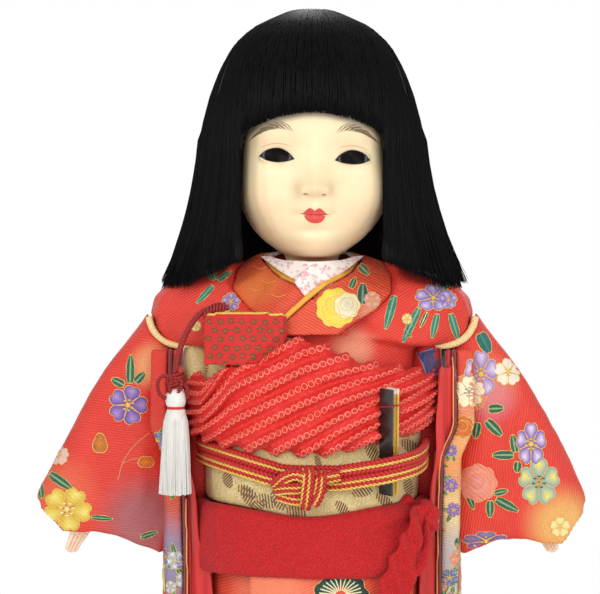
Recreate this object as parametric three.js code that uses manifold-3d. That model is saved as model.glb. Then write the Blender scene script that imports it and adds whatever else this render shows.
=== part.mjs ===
// A standing ichimatsu doll: a jointed child figure with a moulded head, glass eyes and a bobbed wig,
// dressed in a long-sleeved kimono with a brocade obi and its accessories.
// Millimetres, +Z up. The doll faces -Y, and "left" and "right" are the doll's own: its left is +X.
import * as THREE from 'three';
import { mergeVertices } from 'three/addons/utils/BufferGeometryUtils.js';
import Module from 'manifold-3d';

const wasm = await Module();
wasm.setup();

// Clearances
const SEAT_GAP = 0.3; // between pieces that lie on each other
const RUN_GAP = 0.6; // between pieces that turn or slide past each other
const FINEST = 0.1; // the smallest step a cut leaves on a surface

// Head
const CHIN_Z = 320.6;
const HEAD_HEIGHT = 98;
const CHEEK_HALF_WIDTH = 30.2;
const FACE_DEPTH = 36;
const SKULL_DEPTH = 40;
const NOSE_LENGTH = 6;
const EYE_HALF_WIDTH = 6.6;
const EYE_HALF_HEIGHT = 2.7;
const EYE_SPACING = 30;
const EYE_HEIGHT = 40.2; // above the chin
const EYE_DEPTH = 7;
const NECK_RADIUS = 11;
const NECK_PEG_RADIUS = 5.5;
const NECK_PEG_LENGTH = 22;
const HEAD_SIDES = 30;

// Wig
const HAIR_TOP = 6; // hair over the crown
const HAIR_TEMPLE_HALF_WIDTH = 47;
const HAIR_TIP_HALF_WIDTH = 64;
const HAIR_BACK_DEPTH = 55;
const HAIR_FRONT_DEPTH = 40;
const HAIR_THICKNESS = 11;
const HAIR_CLEARANCE = 1.2; // between the tips and the shoulders they hang over
const BANGS_HALF_WIDTH = 27;
const BANGS_HEIGHT = 57; // of the bangs' edge above the chin

// Dressed trunk
const HEM_Z = 16;
const KNEE_Z = 100;
const HIP_Z = 194;
const WAIST_Z = 221;
const OBI_HEIGHT = 68;
const HEM_HALF_WIDTH = 41;
const KNEE_HALF_WIDTH = 43;
const HIP_HALF_WIDTH = 42.5;
const WAIST_HALF_WIDTH = 41.4;
const CHEST_HALF_WIDTH = 46;
const HEM_HALF_DEPTH = 36;
const HIP_HALF_DEPTH = 37;
const WAIST_HALF_DEPTH = 34.5;
const CHEST_HALF_DEPTH = 32;
const TRUNK_POWER = 2.4; // how square the trunk is in plan
const CLOTH = 3; // lined and wadded kimono cloth
const TRUNK_SIDES = 28;

// Shoulders and arms
const SHOULDER_X = 54;
const SHOULDER_Z = 298;
const SHOULDER_RADIUS = 13.8;
const SHOULDER_SLOPE = 0.345;
const SHOULDER_POWER = 3;
const NECKLINE_HALF_WIDTH = 20;
const NECKLINE_HALF_DEPTH = 15;
const TORSO_INSET = 5;
const CROTCH_Z = 150;
const ARM_SPREAD = 27; // degrees from hanging straight down
const ARM_LIFT = 15; // degrees the arm can be raised
const ARM_BALL_RADIUS = 8;
const ARM_RADIUS = 6.5;
const UPPER_ARM_LENGTH = 56;
const FOREARM_LENGTH = 36;
const WRIST_RADIUS = 4.6;
const FINGER_LENGTH = 13;
const FINGER_RADIUS = 1.55;

// Sleeves
const WRIST_COVER = 2; // of the sleeve past the wrist
const SLEEVE_LENGTH = UPPER_ARM_LENGTH + FOREARM_LENGTH + WRIST_COVER;
const SLEEVE_OUTER = 20; // outer edge from the arm's axis at the cuff
const SLEEVE_INNER = 39; // inner edge from the arm's axis at the cuff
const SLEEVE_ROOT_THICKNESS = 26;
const SLEEVE_CUFF_THICKNESS = 17;
const CUFF_REACH = 10; // of the cuff beyond the sleeve's lower edge
const CUFF_RECESS = 14;
const DROP_BOTTOM_Z = 62;
const DROP_HALF_DEPTH = 23;
const DROP_THICKNESS = 7;
const TRIM_THICKNESS = 1.3;
const SLEEVE_LINING_THICKNESS = 2.2;
const DROP_CLEARANCE = 1.6; // between the hanging sleeves and the widest of the sashes

// Collars
const COLLAR_WIDTH = 19;
const COLLAR_THICKNESS = 2.6;
const ACCENT_WIDTH = 2.8;
const INNER_COLLAR_WIDTH = 6;
const INNER_COLLAR_THICKNESS = 1.2;
const INNER_COLLAR_SUNK = 1.6; // of its inner edge, towards the neck
const COLLAR_NAPE_SHARE = 0.5; // of the front widths, round the nape

// Obi and its cords
const OBI_THICKNESS = 3.6;
const OBI_PRESS = 1.6; // how far the obi presses the bodice in
const OBIAGE_BULGE = 8.5;
const OBIAGE_RIBS = 4;
const CORD_HEIGHT = 4.2;
const CORD_THICKNESS = 2.8;
const CORD_SIDE_Z = 243;
const CORD_DROOP = 11;
const KNOT_HALF_WIDTH = 9;
const BOW_HALF_WIDTH = 46;
const BOW_HEIGHT = 44;
const BOW_DEPTH = 17;
const BOW_Z = 262;
const BOW_TAIL_LENGTH = 62;

// Shigoki, the crepe sash under the obi
const SHIGOKI_THICKNESS = 3.4;
const SHIGOKI_TAIL_LENGTH = 104;
const SHIGOKI_TAIL_WIDTH = 17;

// Pouch, tassel and fan
const POUCH_WIDTH = 34;
const POUCH_HEIGHT = 20;
const POUCH_THICKNESS = 5;
const POUCH_Z = 287.5;
const TASSEL_LENGTH = 42;
const TASSEL_RADIUS = 6;
const TASSEL_CORD_RADIUS = 1.3;
const FAN_LENGTH = 43;
const FAN_WIDTH = 6.5;
const FAN_GUARD = 0.9;
const FAN_LEAF = 1.8;
const FAN_X = 32;
const FAN_BOTTOM_Z = 226;
const FAN_LEAN = 9; // degrees forward
const FAN_CLEARANCE = 0.8; // from the obi

// Legs and footwear
const LEG_X = 16.5;
const LEG_RADIUS = 12;
const SHIN_TOP_Z = 95;
const ANKLE_RADIUS = 8.5;
const FOOT_LENGTH = 44;
const FOOT_WIDTH = 19;
const FOOT_HEIGHT = 13;
const SOLE_HEIGHT = 9;
const SOLE_LENGTH = 54;
const SOLE_WIDTH = 26;
const STRAP_RADIUS = 1.5;
const HEM_ROLL_HEIGHT = 4;
const UNDERSKIRT_DROP = 3;

// Worked out from the sizes above
const OBI_BOTTOM = WAIST_Z;
const OBI_TOP = WAIST_Z + OBI_HEIGHT;
const OBI_INSIDE = 4 * SEAT_GAP - OBI_PRESS;
const OBI_OUTSIDE = OBI_INSIDE + OBI_THICKNESS;
const SKIRT_TOP = (HIP_Z + WAIST_Z) / 2;
const NECKLINE_Z = SHOULDER_Z + SHOULDER_RADIUS * 0.84 +
  (SHOULDER_X + SHOULDER_RADIUS * 0.55 - NECKLINE_HALF_WIDTH) * SHOULDER_SLOPE;
const TORSO_TOP = NECKLINE_Z - 8;
const ARM_RAD = THREE.MathUtils.degToRad(ARM_SPREAD);

// Building helpers

const vec = (x, y, z) => new THREE.Vector3(x, y, z);
const bell = (x, width) => Math.exp(-((x / width) ** 2));
const mix = (a, b, t) => a + (b - a) * t;
const ramp = (t) => t * t * (3 - 2 * t);
const steps = (count, low, high) => Array.from({ length: count + 1 }, (_, i) => mix(low, high, i / count));
const turn = (count) => steps(count, 0, 2 * Math.PI).slice(0, count);

// A smooth curve through [position, value] stations, level beyond its ends and never overshooting.
function stations(...points) {
  const slope = points.slice(1).map(([p, v], i) => (v - points[i][1]) / (p - points[i][0]));
  const tangent = points.map((_, i) => {
    const before = slope[i - 1] ?? 0;
    const after = slope[i] ?? 0;
    return before * after > 0 ? (2 * before * after) / (before + after) : 0;
  });
  return (at) => {
    const i = points.findIndex(([p]) => p > at) - 1;
    if (i === -1) return points[0][1];
    if (i < 0) return points[points.length - 1][1];
    const span = points[i + 1][0] - points[i][0];
    const t = (at - points[i][0]) / span;
    const rise = ramp(t);
    return mix(points[i][1], points[i + 1][1], rise) +
      span * (tangent[i] * t * (1 - t) ** 2 - tangent[i + 1] * t * t * (1 - t));
  };
}

// A geometry from points and triangles, turned so that its faces point outwards.
function closed(points, faces) {
  let volume = 0;
  for (let i = 0; i < faces.length; i += 3) {
    const [a, b, c] = [points[faces[i]], points[faces[i + 1]], points[faces[i + 2]]];
    volume += a.dot(b.clone().cross(c));
  }
  const outward = volume < 0 ? [...faces].reverse() : faces;
  return new THREE.BufferGeometry().setFromPoints(points).setIndex(outward);
}

// A skin over rings of equal length. An open row of rings is capped, and a loop closes on itself.
function skin(rings, loop = false) {
  const sides = rings[0].length;
  const points = rings.flat();
  const faces = [];
  const spans = loop ? rings.length : rings.length - 1;
  for (let i = 0; i < spans; i++) {
    const near = i * sides;
    const far = ((i + 1) % rings.length) * sides;
    for (let j = 0; j < sides; j++) {
      const k = (j + 1) % sides;
      faces.push(near + j, near + k, far + k, near + j, far + k, far + j);
    }
  }
  if (!loop) {
    [[rings[0], 0, 1], [rings.at(-1), (rings.length - 1) * sides, -1]].forEach(([ring, start, way]) => {
      const middle = ring.reduce((sum, p) => sum.add(p), vec(0, 0, 0)).divideScalar(sides);
      const centre = points.push(middle) - 1;
      for (let j = 0; j < sides; j++) {
        const edge = [start + j, start + ((j + 1) % sides)];
        faces.push(centre, edge[way > 0 ? 1 : 0], edge[way > 0 ? 0 : 1]);
      }
    });
  }
  return closed(points, faces);
}

// A closed outline at one height, squarer as its power grows, with its own depth in front and behind.
function outline(z, halfWidth, front, back, power, sides, x = 0, y = 0) {
  return turn(sides).map((angle) => {
    const s = Math.sin(angle);
    const c = Math.cos(angle);
    const depth = c > 0 ? front : back;
    const across = Math.sign(s) * Math.abs(s) ** (2 / power);
    const along = Math.sign(c) * Math.abs(c) ** (2 / power);
    return vec(x + halfWidth * across, y - depth * along, z);
  });
}

// Joins and cuts

function solid(geometry) {
  const bare = geometry.clone();
  bare.deleteAttribute('normal');
  bare.deleteAttribute('uv');
  const merged = mergeVertices(bare, 1e-4);
  return new wasm.Manifold(new wasm.Mesh({
    numProp: 3,
    vertProperties: merged.attributes.position.array,
    triVerts: new Uint32Array(merged.index.array),
  }));
}

function shape(made) {
  const mesh = made.simplify(FINEST).getMesh();
  return new THREE.BufferGeometry()
    .setAttribute('position', new THREE.BufferAttribute(mesh.vertProperties, 3))
    .setIndex(new THREE.BufferAttribute(mesh.triVerts, 1));
}

const join = (first, ...rest) => shape(rest.reduce((sum, g) => sum.add(solid(g)), solid(first)));
const cut = (first, ...rest) => shape(rest.reduce((left, g) => left.subtract(solid(g)), solid(first)));
const overlap = (first, second) => shape(solid(first).intersect(solid(second)));
const mirrored = (geometry) => {
  const other = geometry.clone().scale(-1, 1, 1);
  other.setIndex([...other.index.array].reverse());
  return other;
};

const box = (x0, x1, y0, y1, z0, z1) => new THREE.BoxGeometry(x1 - x0, y1 - y0, z1 - z0)
  .translate((x0 + x1) / 2, (y0 + y1) / 2, (z0 + z1) / 2);
const rod = (radius, z0, z1, sides = 16) => new THREE.CylinderGeometry(radius, radius, z1 - z0, sides)
  .rotateX(Math.PI / 2).translate(0, 0, (z0 + z1) / 2);

// A tube of an oval section along a curve, with rounded or square ends left flat.
function tube(curve, across, thick, count, sides = 8) {
  const frames = curve.computeFrenetFrames(count, false);
  return skin(steps(count, 0, 1).map((t, i) => turn(sides).map((angle) => curve.getPointAt(t)
    .addScaledVector(frames.normals[i], across * Math.cos(angle))
    .addScaledVector(frames.binormals[i], thick * Math.sin(angle)))));
}

// The dressed trunk, which every wrapped piece follows at its own offset

const trunkWidth = stations([HEM_Z, HEM_HALF_WIDTH], [KNEE_Z, KNEE_HALF_WIDTH], [HIP_Z, HIP_HALF_WIDTH],
  [WAIST_Z, WAIST_HALF_WIDTH], [OBI_TOP, CHEST_HALF_WIDTH]);
const trunkDepth = stations([HEM_Z, HEM_HALF_DEPTH], [HIP_Z, HIP_HALF_DEPTH],
  [WAIST_Z, WAIST_HALF_DEPTH], [OBI_TOP, CHEST_HALF_DEPTH]);

// A point on a squared oval, seen from its middle. Angle 0 faces the front and a quarter turn the doll's left.
function around(angle, z, halfWidth, halfDepth, power) {
  const s = Math.abs(Math.sin(angle) / halfWidth);
  const c = Math.abs(Math.cos(angle) / halfDepth);
  const reach = (s ** power + c ** power) ** (-1 / power);
  return vec(reach * Math.sin(angle), -reach * Math.cos(angle), z);
}

// A point on the trunk grown by an offset.
const trunk = (angle, z, offset = 0) => around(angle, z, trunkWidth(z) + offset, trunkDepth(z) + offset, TRUNK_POWER);

// A band round the trunk. Each angle has a closed section of [offset, height] pairs.
function band(angles, sectionAt, loop) {
  return skin(angles.map((angle) => sectionAt(angle).map(([offset, z]) => trunk(angle, z, offset))), loop);
}

// A flat section with eased edges between two offsets and two heights.
function flatSection(inside, outside, low, high) {
  const ease = Math.min((outside - inside) / 3, (high - low) / 3);
  return [[inside, low], [outside - ease, low], [outside, low + ease],
    [outside, high - ease], [outside - ease, high], [inside, high]];
}

const wholeTurn = turn(TRUNK_SIDES);

// Head with its neck, in the head's own frame: heights are measured above the chin

const headWidth = stations([0, 0.3], [0.03, 0.46], [0.08, 0.68], [0.15, 0.86], [0.25, 0.985], [0.33, 1],
  [0.45, 0.995], [0.56, 1.03], [0.7, 1.08], [0.83, 0.98], [0.93, 0.68], [1, 0.2]);
const headFront = stations([0, 0.7], [0.04, 0.83], [0.1, 0.88], [0.17, 0.92], [0.27, 0.945], [0.41, 0.94],
  [0.58, 1], [0.72, 0.97], [0.85, 0.8], [0.94, 0.55], [1, 0.15]);
const headBack = stations([0, 0.05], [0.06, 0.18], [0.12, 0.3], [0.2, 0.5], [0.3, 0.72], [0.45, 0.92],
  [0.6, 1], [0.75, 0.97], [0.88, 0.75], [0.95, 0.5], [1, 0.15]);
const HEAD_POWER = 2.15;

// How far the face stands forward of the plain egg at a place on it.
function relief(x, up) {
  const at = (cx, cz, sx, sz) => bell(Math.abs(x) - cx, sx) * bell(up - cz, sz);
  const nose = at(0, 27.2, 4.3, 4.2) + 0.4 * at(0, 36, 3.6, 8) + 0.4 * at(5, 26.2, 2.6, 2.8);
  const mouth = 1.5 * at(0, 19.3, 5.5, 1.9) + 1.6 * at(0, 15.2, 4.6, 2) - at(0, 17.4, 6.5, 0.9);
  const cheeks = 1.2 * at(17, 24, 10, 10) + 1.6 * at(0, 18, 10, 8) + 1.8 * at(0, 6.5, 9, 5);
  const sockets = -1.3 * at(EYE_SPACING / 2, EYE_HEIGHT, 7.5, 5);
  return NOSE_LENGTH * nose + mouth + cheeks + sockets;
}

function headRing(share, grow, withFace) {
  const up = share * HEAD_HEIGHT;
  const ring = outline(CHIN_Z + up, CHEEK_HALF_WIDTH * headWidth(share) + grow,
    FACE_DEPTH * headFront(share) + grow, SKULL_DEPTH * headBack(share) + grow, HEAD_POWER, HEAD_SIDES);
  return withFace ? ring.map((p) => (p.y < 0 ? p.setY(p.y - relief(p.x, up)) : p)) : ring;
}

const HEAD_LEVELS = [0, 0.03, 0.075, 0.12, 0.155, 0.18, 0.2, 0.24, 0.275, 0.31, 0.37, 0.43, 0.5, 0.6, 0.72,
  0.83, 0.92, 0.97, 1];
const headForm = (grow, withFace) => skin(HEAD_LEVELS.map((share) => headRing(share, grow, withFace)));

// An almond outline for an eye, grown by an allowance.
function almond(grow) {
  const w = EYE_HALF_WIDTH + grow;
  const h = EYE_HALF_HEIGHT + grow;
  const path = new THREE.Shape();
  path.moveTo(-w, -h * 0.2);
  path.quadraticCurveTo(-w * 0.25, h * 1.75, w, -h * 0.1);
  path.quadraticCurveTo(0, -h * 1.85, -w, -h * 0.2);
  return path;
}

const eyeFace = -(FACE_DEPTH * headFront(EYE_HEIGHT / HEAD_HEIGHT) - 4.4);
function eyeBlock(grow, depth, side) {
  return new THREE.ExtrudeGeometry(almond(grow), { depth, bevelEnabled: false, curveSegments: 5 })
    .rotateX(Math.PI / 2).rotateZ(side * 0.28)
    .translate(side * (EYE_SPACING / 2), eyeFace + EYE_DEPTH, CHIN_Z + EYE_HEIGHT);
}

function eye(side) {
  const dome = new THREE.SphereGeometry(EYE_HALF_WIDTH * 2, 18, 12)
    .translate(side * (EYE_SPACING / 2), eyeFace + EYE_HALF_WIDTH * 2, CHIN_Z + EYE_HEIGHT);
  return overlap(eyeBlock(0, EYE_DEPTH + 3, side), dome);
}

function head() {
  const neck = rod(NECK_RADIUS, TORSO_TOP + SEAT_GAP, CHIN_Z + HEAD_HEIGHT * 0.2, 24);
  const peg = rod(NECK_PEG_RADIUS + SEAT_GAP, TORSO_TOP - NECK_PEG_LENGTH, CHIN_Z);
  const sockets = [-1, 1].map((side) => eyeBlock(SEAT_GAP, EYE_DEPTH * 3, side)
    .translate(0, SEAT_GAP, 0));
  return cut(join(headForm(0, true), neck), peg, ...sockets);
}

const neckPeg = () => rod(NECK_PEG_RADIUS, TORSO_TOP - NECK_PEG_LENGTH, CHIN_Z - SEAT_GAP);

// Wig: one mass of straight hair cut level with the shoulders, and the bangs planted in front of it

const hairTop = CHIN_Z + HEAD_HEIGHT + HAIR_TOP;
const hairWidth = stations([0, 0.2], [0.05, 0.48], [0.12, 0.69], [0.2, 0.81], [0.3, 0.91], [0.42, 1],
  [0.58, 1.06], [0.74, 1.12], [0.86, 1.24], [1, HAIR_TIP_HALF_WIDTH / HAIR_TEMPLE_HALF_WIDTH]);
const hairBack = stations([0, 0.18], [0.05, 0.42], [0.12, 0.6], [0.25, 0.77], [0.45, 0.88], [0.75, 0.93], [1, 1]);
const hairFront = stations([0, 0.2], [0.05, 0.55], [0.12, 0.78], [0.25, 0.95], [0.4, 1], [0.7, 0.96], [1, 0.9]);
const HAIR_LEVELS = [0, 0.03, 0.07, 0.13, 0.22, 0.34, 0.52, 0.68, 0.84, 1];

// Height of the hair's cut edge at a distance from the neck's axis: a cone just over the shoulders.
const tipHeight = (radius) => NECKLINE_Z - (radius - NECKLINE_HALF_WIDTH) * SHOULDER_SLOPE + HAIR_CLEARANCE;
const hairBottom = tipHeight(HAIR_TIP_HALF_WIDTH + 8);

function hairForm(grow, from, to) {
  return skin(HAIR_LEVELS.filter((s) => s >= from && s <= to).map((share) => outline(
    mix(hairTop, hairBottom, share),
    HAIR_TEMPLE_HALF_WIDTH * hairWidth(share) + grow,
    HAIR_FRONT_DEPTH * hairFront(share) + grow,
    HAIR_BACK_DEPTH * hairBack(share) + grow, 2.2, TRUNK_SIDES)));
}

// The opening that shows the face, from the edge of the bangs down.
function faceOpening() {
  const path = new THREE.Shape();
  const top = CHIN_Z + BANGS_HEIGHT;
  path.moveTo(-BANGS_HALF_WIDTH, hairBottom - 20);
  path.lineTo(-BANGS_HALF_WIDTH, CHIN_Z);
  path.quadraticCurveTo(-CHEEK_HALF_WIDTH - 1, CHIN_Z + 24, -BANGS_HALF_WIDTH, top - 6);
  path.quadraticCurveTo(0, top + 6, BANGS_HALF_WIDTH, top - 6);
  path.quadraticCurveTo(CHEEK_HALF_WIDTH + 1, CHIN_Z + 24, BANGS_HALF_WIDTH, CHIN_Z);
  path.lineTo(BANGS_HALF_WIDTH, hairBottom - 20);
  return new THREE.ExtrudeGeometry(path, { depth: HAIR_BACK_DEPTH + 5, bevelEnabled: false, curveSegments: 10 })
    .rotateX(Math.PI / 2).translate(0, 5, 0);
}

// The cone of air under the hair's cut edge.
function underHair() {
  const reach = HAIR_TIP_HALF_WIDTH + HAIR_BACK_DEPTH;
  const floor = hairBottom - reach;
  const profile = [vec(0, floor, 0), vec(reach, floor, 0), vec(reach, tipHeight(reach), 0), vec(0, tipHeight(0), 0)];
  return new THREE.LatheGeometry(profile.map((p) => new THREE.Vector2(p.x, p.y)), TRUNK_SIDES).rotateX(Math.PI / 2);
}

function wholeWig() {
  return cut(hairForm(0, 0, 1), headForm(SEAT_GAP, false), hairForm(-HAIR_THICKNESS, 0.52, 1),
    rod(NECK_RADIUS + HAIR_THICKNESS, hairBottom, CHIN_Z + HEAD_HEIGHT * 0.3), faceOpening(), underHair());
}

const bangsBlock = (grow) => box(-BANGS_HALF_WIDTH - grow, BANGS_HALF_WIDTH + grow, -HAIR_BACK_DEPTH * 2,
  -FACE_DEPTH * 0.45 + grow, CHIN_Z + BANGS_HEIGHT - 12, hairTop + 1);

// Torso with its neck seat, and the padded bodice over it

const shoulderWidth = (z) => {
  const up = z - SHOULDER_Z;
  if (up <= -SHOULDER_RADIUS) return trunkWidth(z) - OBI_PRESS;
  const corner = SHOULDER_RADIUS * 0.84;
  const cap = SHOULDER_X + Math.sqrt(Math.max(0, SHOULDER_RADIUS ** 2 - Math.min(up, corner) ** 2));
  return up <= corner ? cap : cap - (up - corner) / SHOULDER_SLOPE;
};
const shoulderDepth = stations([OBI_TOP - 4, CHEST_HALF_DEPTH - OBI_PRESS], [SHOULDER_Z, CHEST_HALF_DEPTH - 4],
  [SHOULDER_Z + SHOULDER_RADIUS, CHEST_HALF_DEPTH - 9], [NECKLINE_Z, NECKLINE_HALF_DEPTH]);

const bodiceDepth = (z) => (z < OBI_TOP - 4 ? trunkDepth(z) - OBI_PRESS : shoulderDepth(z));
const bodicePower = (z) => (z <= SHOULDER_Z - SHOULDER_RADIUS ? TRUNK_POWER : SHOULDER_POWER);

function bodiceRing(z) {
  return wholeTurn.map((angle) => around(angle, z, shoulderWidth(z), bodiceDepth(z), bodicePower(z)));
}

const BODICE_LEVELS = [SKIRT_TOP + SEAT_GAP, WAIST_Z, SHOULDER_Z - SHOULDER_RADIUS,
  ...[-0.97, -0.8, -0.5, 0, 0.45, 0.84].map((s) => SHOULDER_Z + s * SHOULDER_RADIUS),
  mix(SHOULDER_Z + 0.84 * SHOULDER_RADIUS, NECKLINE_Z, 0.5), NECKLINE_Z];

const torsoWidth = stations([CROTCH_Z, WAIST_HALF_WIDTH - 8], [WAIST_Z, WAIST_HALF_WIDTH - OBI_PRESS - TORSO_INSET],
  [OBI_TOP, CHEST_HALF_WIDTH - OBI_PRESS - TORSO_INSET],
  [SHOULDER_Z + SHOULDER_RADIUS * 0.5, SHOULDER_X - ARM_BALL_RADIUS - TORSO_INSET],
  [TORSO_TOP, NECK_RADIUS + 4]);
const torsoDepth = stations([CROTCH_Z, WAIST_HALF_DEPTH - 9], [WAIST_Z, WAIST_HALF_DEPTH - OBI_PRESS - TORSO_INSET],
  [OBI_TOP, CHEST_HALF_DEPTH - TORSO_INSET - 2], [SHOULDER_Z + SHOULDER_RADIUS * 0.5, CHEST_HALF_DEPTH - 14],
  [TORSO_TOP, NECK_RADIUS + 1]);
const TORSO_LEVELS = [...steps(5, CROTCH_Z, SHOULDER_Z), SHOULDER_Z + SHOULDER_RADIUS * 0.5, TORSO_TOP];

const torsoForm = (grow) => skin(TORSO_LEVELS.map((z, i) => outline(
  z + (i === TORSO_LEVELS.length - 1 ? grow : 0) - (i === 0 ? grow : 0),
  torsoWidth(z) + grow, torsoDepth(z) + grow, torsoDepth(z) + grow, TRUNK_POWER, 22)));

const neckSocket = () => rod(NECK_PEG_RADIUS + SEAT_GAP, TORSO_TOP - NECK_PEG_LENGTH - SEAT_GAP, TORSO_TOP + 5);

// The arm's axis: a group's -Z runs down the arm from the shoulder.
function placeArm(geometry, side, lift = 0) {
  return geometry.rotateY(-side * (ARM_RAD + THREE.MathUtils.degToRad(lift)))
    .translate(side * SHOULDER_X, 0, SHOULDER_Z);
}

// Everything the upper arm sweeps through inside the shoulder.
function armholes() {
  const reach = SHOULDER_RADIUS * 2;
  const lifts = steps(1, 0, ARM_LIFT);
  return [-1, 1].flatMap((side) => [
    new THREE.SphereGeometry(ARM_BALL_RADIUS + RUN_GAP, 14, 10).translate(side * SHOULDER_X, 0, SHOULDER_Z),
    ...lifts.map((lift) => placeArm(rod(ARM_RADIUS + RUN_GAP, -reach, 0, 12), side, lift)),
  ]);
}

const torso = () => cut(torsoForm(0), neckSocket());

// Room in front of the neck for the chin to turn over the neckline.
const chinRoom = () => rod(FACE_DEPTH * 0.8, CHIN_Z - RUN_GAP * 2, NECKLINE_Z + 5, 24)
  .scale(0.8, 1, 1);

function bodice() {
  const neckHole = rod(NECKLINE_HALF_DEPTH - 0.5, TORSO_TOP - 1, NECKLINE_Z + 5, 24);
  return cut(skin(BODICE_LEVELS.map(bodiceRing)), torsoForm(SEAT_GAP), neckHole, ...armholes(),
    collarRoom(), chinRoom(),
    band(wholeTurn, (angle) => flatSection(-OBI_PRESS - 2 * SEAT_GAP, OBI_OUTSIDE + 2 * SEAT_GAP,
      SHOULDER_Z - SHOULDER_RADIUS - RUN_GAP, obiTop(angle) + SEAT_GAP), true));
}

// Collars: bands that stand round the nape and cross in front, the left side over the right

// The bodice's front surface, pushed forward by a lift.
function chest(x, z, lift) {
  const share = Math.min(1, Math.abs(x) / shoulderWidth(z));
  const power = bodicePower(z);
  return vec(x, -bodiceDepth(z) * (1 - share ** power) ** (1 / power) - lift, z);
}

// The seam between the kimono's collar and the collars inside it, from the right end round the nape to the
// left end. Its left half lies over its right half.
const crossZ = CHIN_Z - 17;
const COLLAR_LIFT = COLLAR_THICKNESS + 5 * SEAT_GAP;
const COLLAR_STEPS = 22;
const collarSeam = (() => {
  const half = (way, lift) => [
    vec(way * NECKLINE_HALF_WIDTH, 2, NECKLINE_Z - 3.6),
    vec(way * NECKLINE_HALF_WIDTH * 0.93, -NECKLINE_HALF_DEPTH * 0.55, NECKLINE_Z - 7),
    vec(way * NECKLINE_HALF_WIDTH * 0.7, -NECKLINE_HALF_DEPTH * 1.12 - lift * 0.5, NECKLINE_Z - 12),
    chest(way * NECKLINE_HALF_WIDTH * 0.38, mix(crossZ, NECKLINE_Z, 0.28), lift),
    chest(0, crossZ, lift),
    chest(-way * NECKLINE_HALF_WIDTH * 0.5, crossZ - 9, lift * 1.2),
    chest(-way * NECKLINE_HALF_WIDTH, crossZ - 19, lift),
  ];
  const nape = vec(0, NECKLINE_HALF_DEPTH + 1.6, NECKLINE_Z - 1.5);
  return new THREE.CatmullRomCurve3([...half(-1, 0).reverse(), nape, ...half(1, COLLAR_LIFT)]);
})();

// Where the collars lie at a step along the seam: [distance outwards and down from the seam, height off the
// bodice] becomes a point. The distances shrink round the nape.
function collarPlace(step) {
  const t = step / COLLAR_STEPS;
  const point = collarSeam.getPointAt(t);
  const along = collarSeam.getTangentAt(t);
  const front = ramp(Math.min(1, Math.max(0, -point.y / NECKLINE_HALF_DEPTH)));
  const out = vec(point.x / NECKLINE_HALF_WIDTH, point.y / NECKLINE_HALF_DEPTH, 0).normalize();
  const steep = mix(0.83, 0.33, out.x ** 2);
  const facing = vec(mix(out.x * steep, 0, front), mix(out.y * steep, -0.93, front),
    mix(1 - steep * 0.5, 0.36, front));
  const across = along.clone().cross(facing).normalize();
  if (across.z > 0) across.negate();
  const proud = along.clone().cross(across).normalize();
  if (proud.dot(facing) < 0) proud.negate();
  const scale = mix(COLLAR_NAPE_SHARE, 1, front);
  return ([distance, height], inset = 0) => point.clone()
    .addScaledVector(across, distance * scale + inset)
    .addScaledVector(proud, height + SEAT_GAP * 2);
}

// A strip of cloth along the seam between two distances from it. Its inner edge can be sunk towards the neck.
function collarBand(from, to, thickness, start = 0, stop = COLLAR_STEPS, sunk = 0) {
  return skin(steps(stop - start, start, stop).map(collarPlace).map((place) => [
    place([from, -sunk], SEAT_GAP), place([to, 0], -SEAT_GAP),
    place([to, thickness], -SEAT_GAP), place([from, thickness - sunk], SEAT_GAP),
  ]));
}

// The collars' ends are tucked away at the obi's upper edge.
const belowObiTop = () => box(-1.3 * CHEST_HALF_WIDTH, 1.3 * CHEST_HALF_WIDTH, -1.9 * WAIST_HALF_DEPTH, 0,
  0, OBI_TOP + SEAT_GAP);
const innerEdge = -ACCENT_WIDTH - INNER_COLLAR_WIDTH;
const kimonoCollar = () => cut(collarBand(0, COLLAR_WIDTH, COLLAR_THICKNESS), belowObiTop());
const accentCollar = () => cut(collarBand(-ACCENT_WIDTH, 0, COLLAR_THICKNESS * 0.7, 3), belowObiTop());
const innerCollar = () => collarBand(innerEdge, -ACCENT_WIDTH, INNER_COLLAR_THICKNESS, 5, 17, INNER_COLLAR_SUNK);

// The room over the bodice that the collars take up.
const collarRoom = () => skin(steps(COLLAR_STEPS, 0, COLLAR_STEPS).map(collarPlace).map((place) => [
  place([innerEdge, -SEAT_GAP - INNER_COLLAR_SUNK]), place([-ACCENT_WIDTH, -SEAT_GAP]), place([0, -SEAT_GAP]),
  place([COLLAR_WIDTH, -SEAT_GAP], SEAT_GAP), place([COLLAR_WIDTH, 9], SEAT_GAP), place([innerEdge, 9]),
]));

// Arms

const upperArm = () => {
  const profile = [new THREE.Vector2(0, ARM_BALL_RADIUS)];
  steps(6, Math.PI / 2, -Math.PI / 4).slice(1).forEach((a) => profile.push(
    new THREE.Vector2(ARM_BALL_RADIUS * Math.cos(a), ARM_BALL_RADIUS * Math.sin(a))));
  profile.push(new THREE.Vector2(ARM_RADIUS * 0.9, -ARM_BALL_RADIUS * 1.2));
  profile.push(new THREE.Vector2(ARM_RADIUS, -UPPER_ARM_LENGTH * 0.5));
  profile.push(new THREE.Vector2(ARM_RADIUS * 0.9, -UPPER_ARM_LENGTH));
  profile.push(new THREE.Vector2(0, -UPPER_ARM_LENGTH));
  return new THREE.LatheGeometry(profile.reverse(), 12).rotateX(Math.PI / 2);
};

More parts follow.
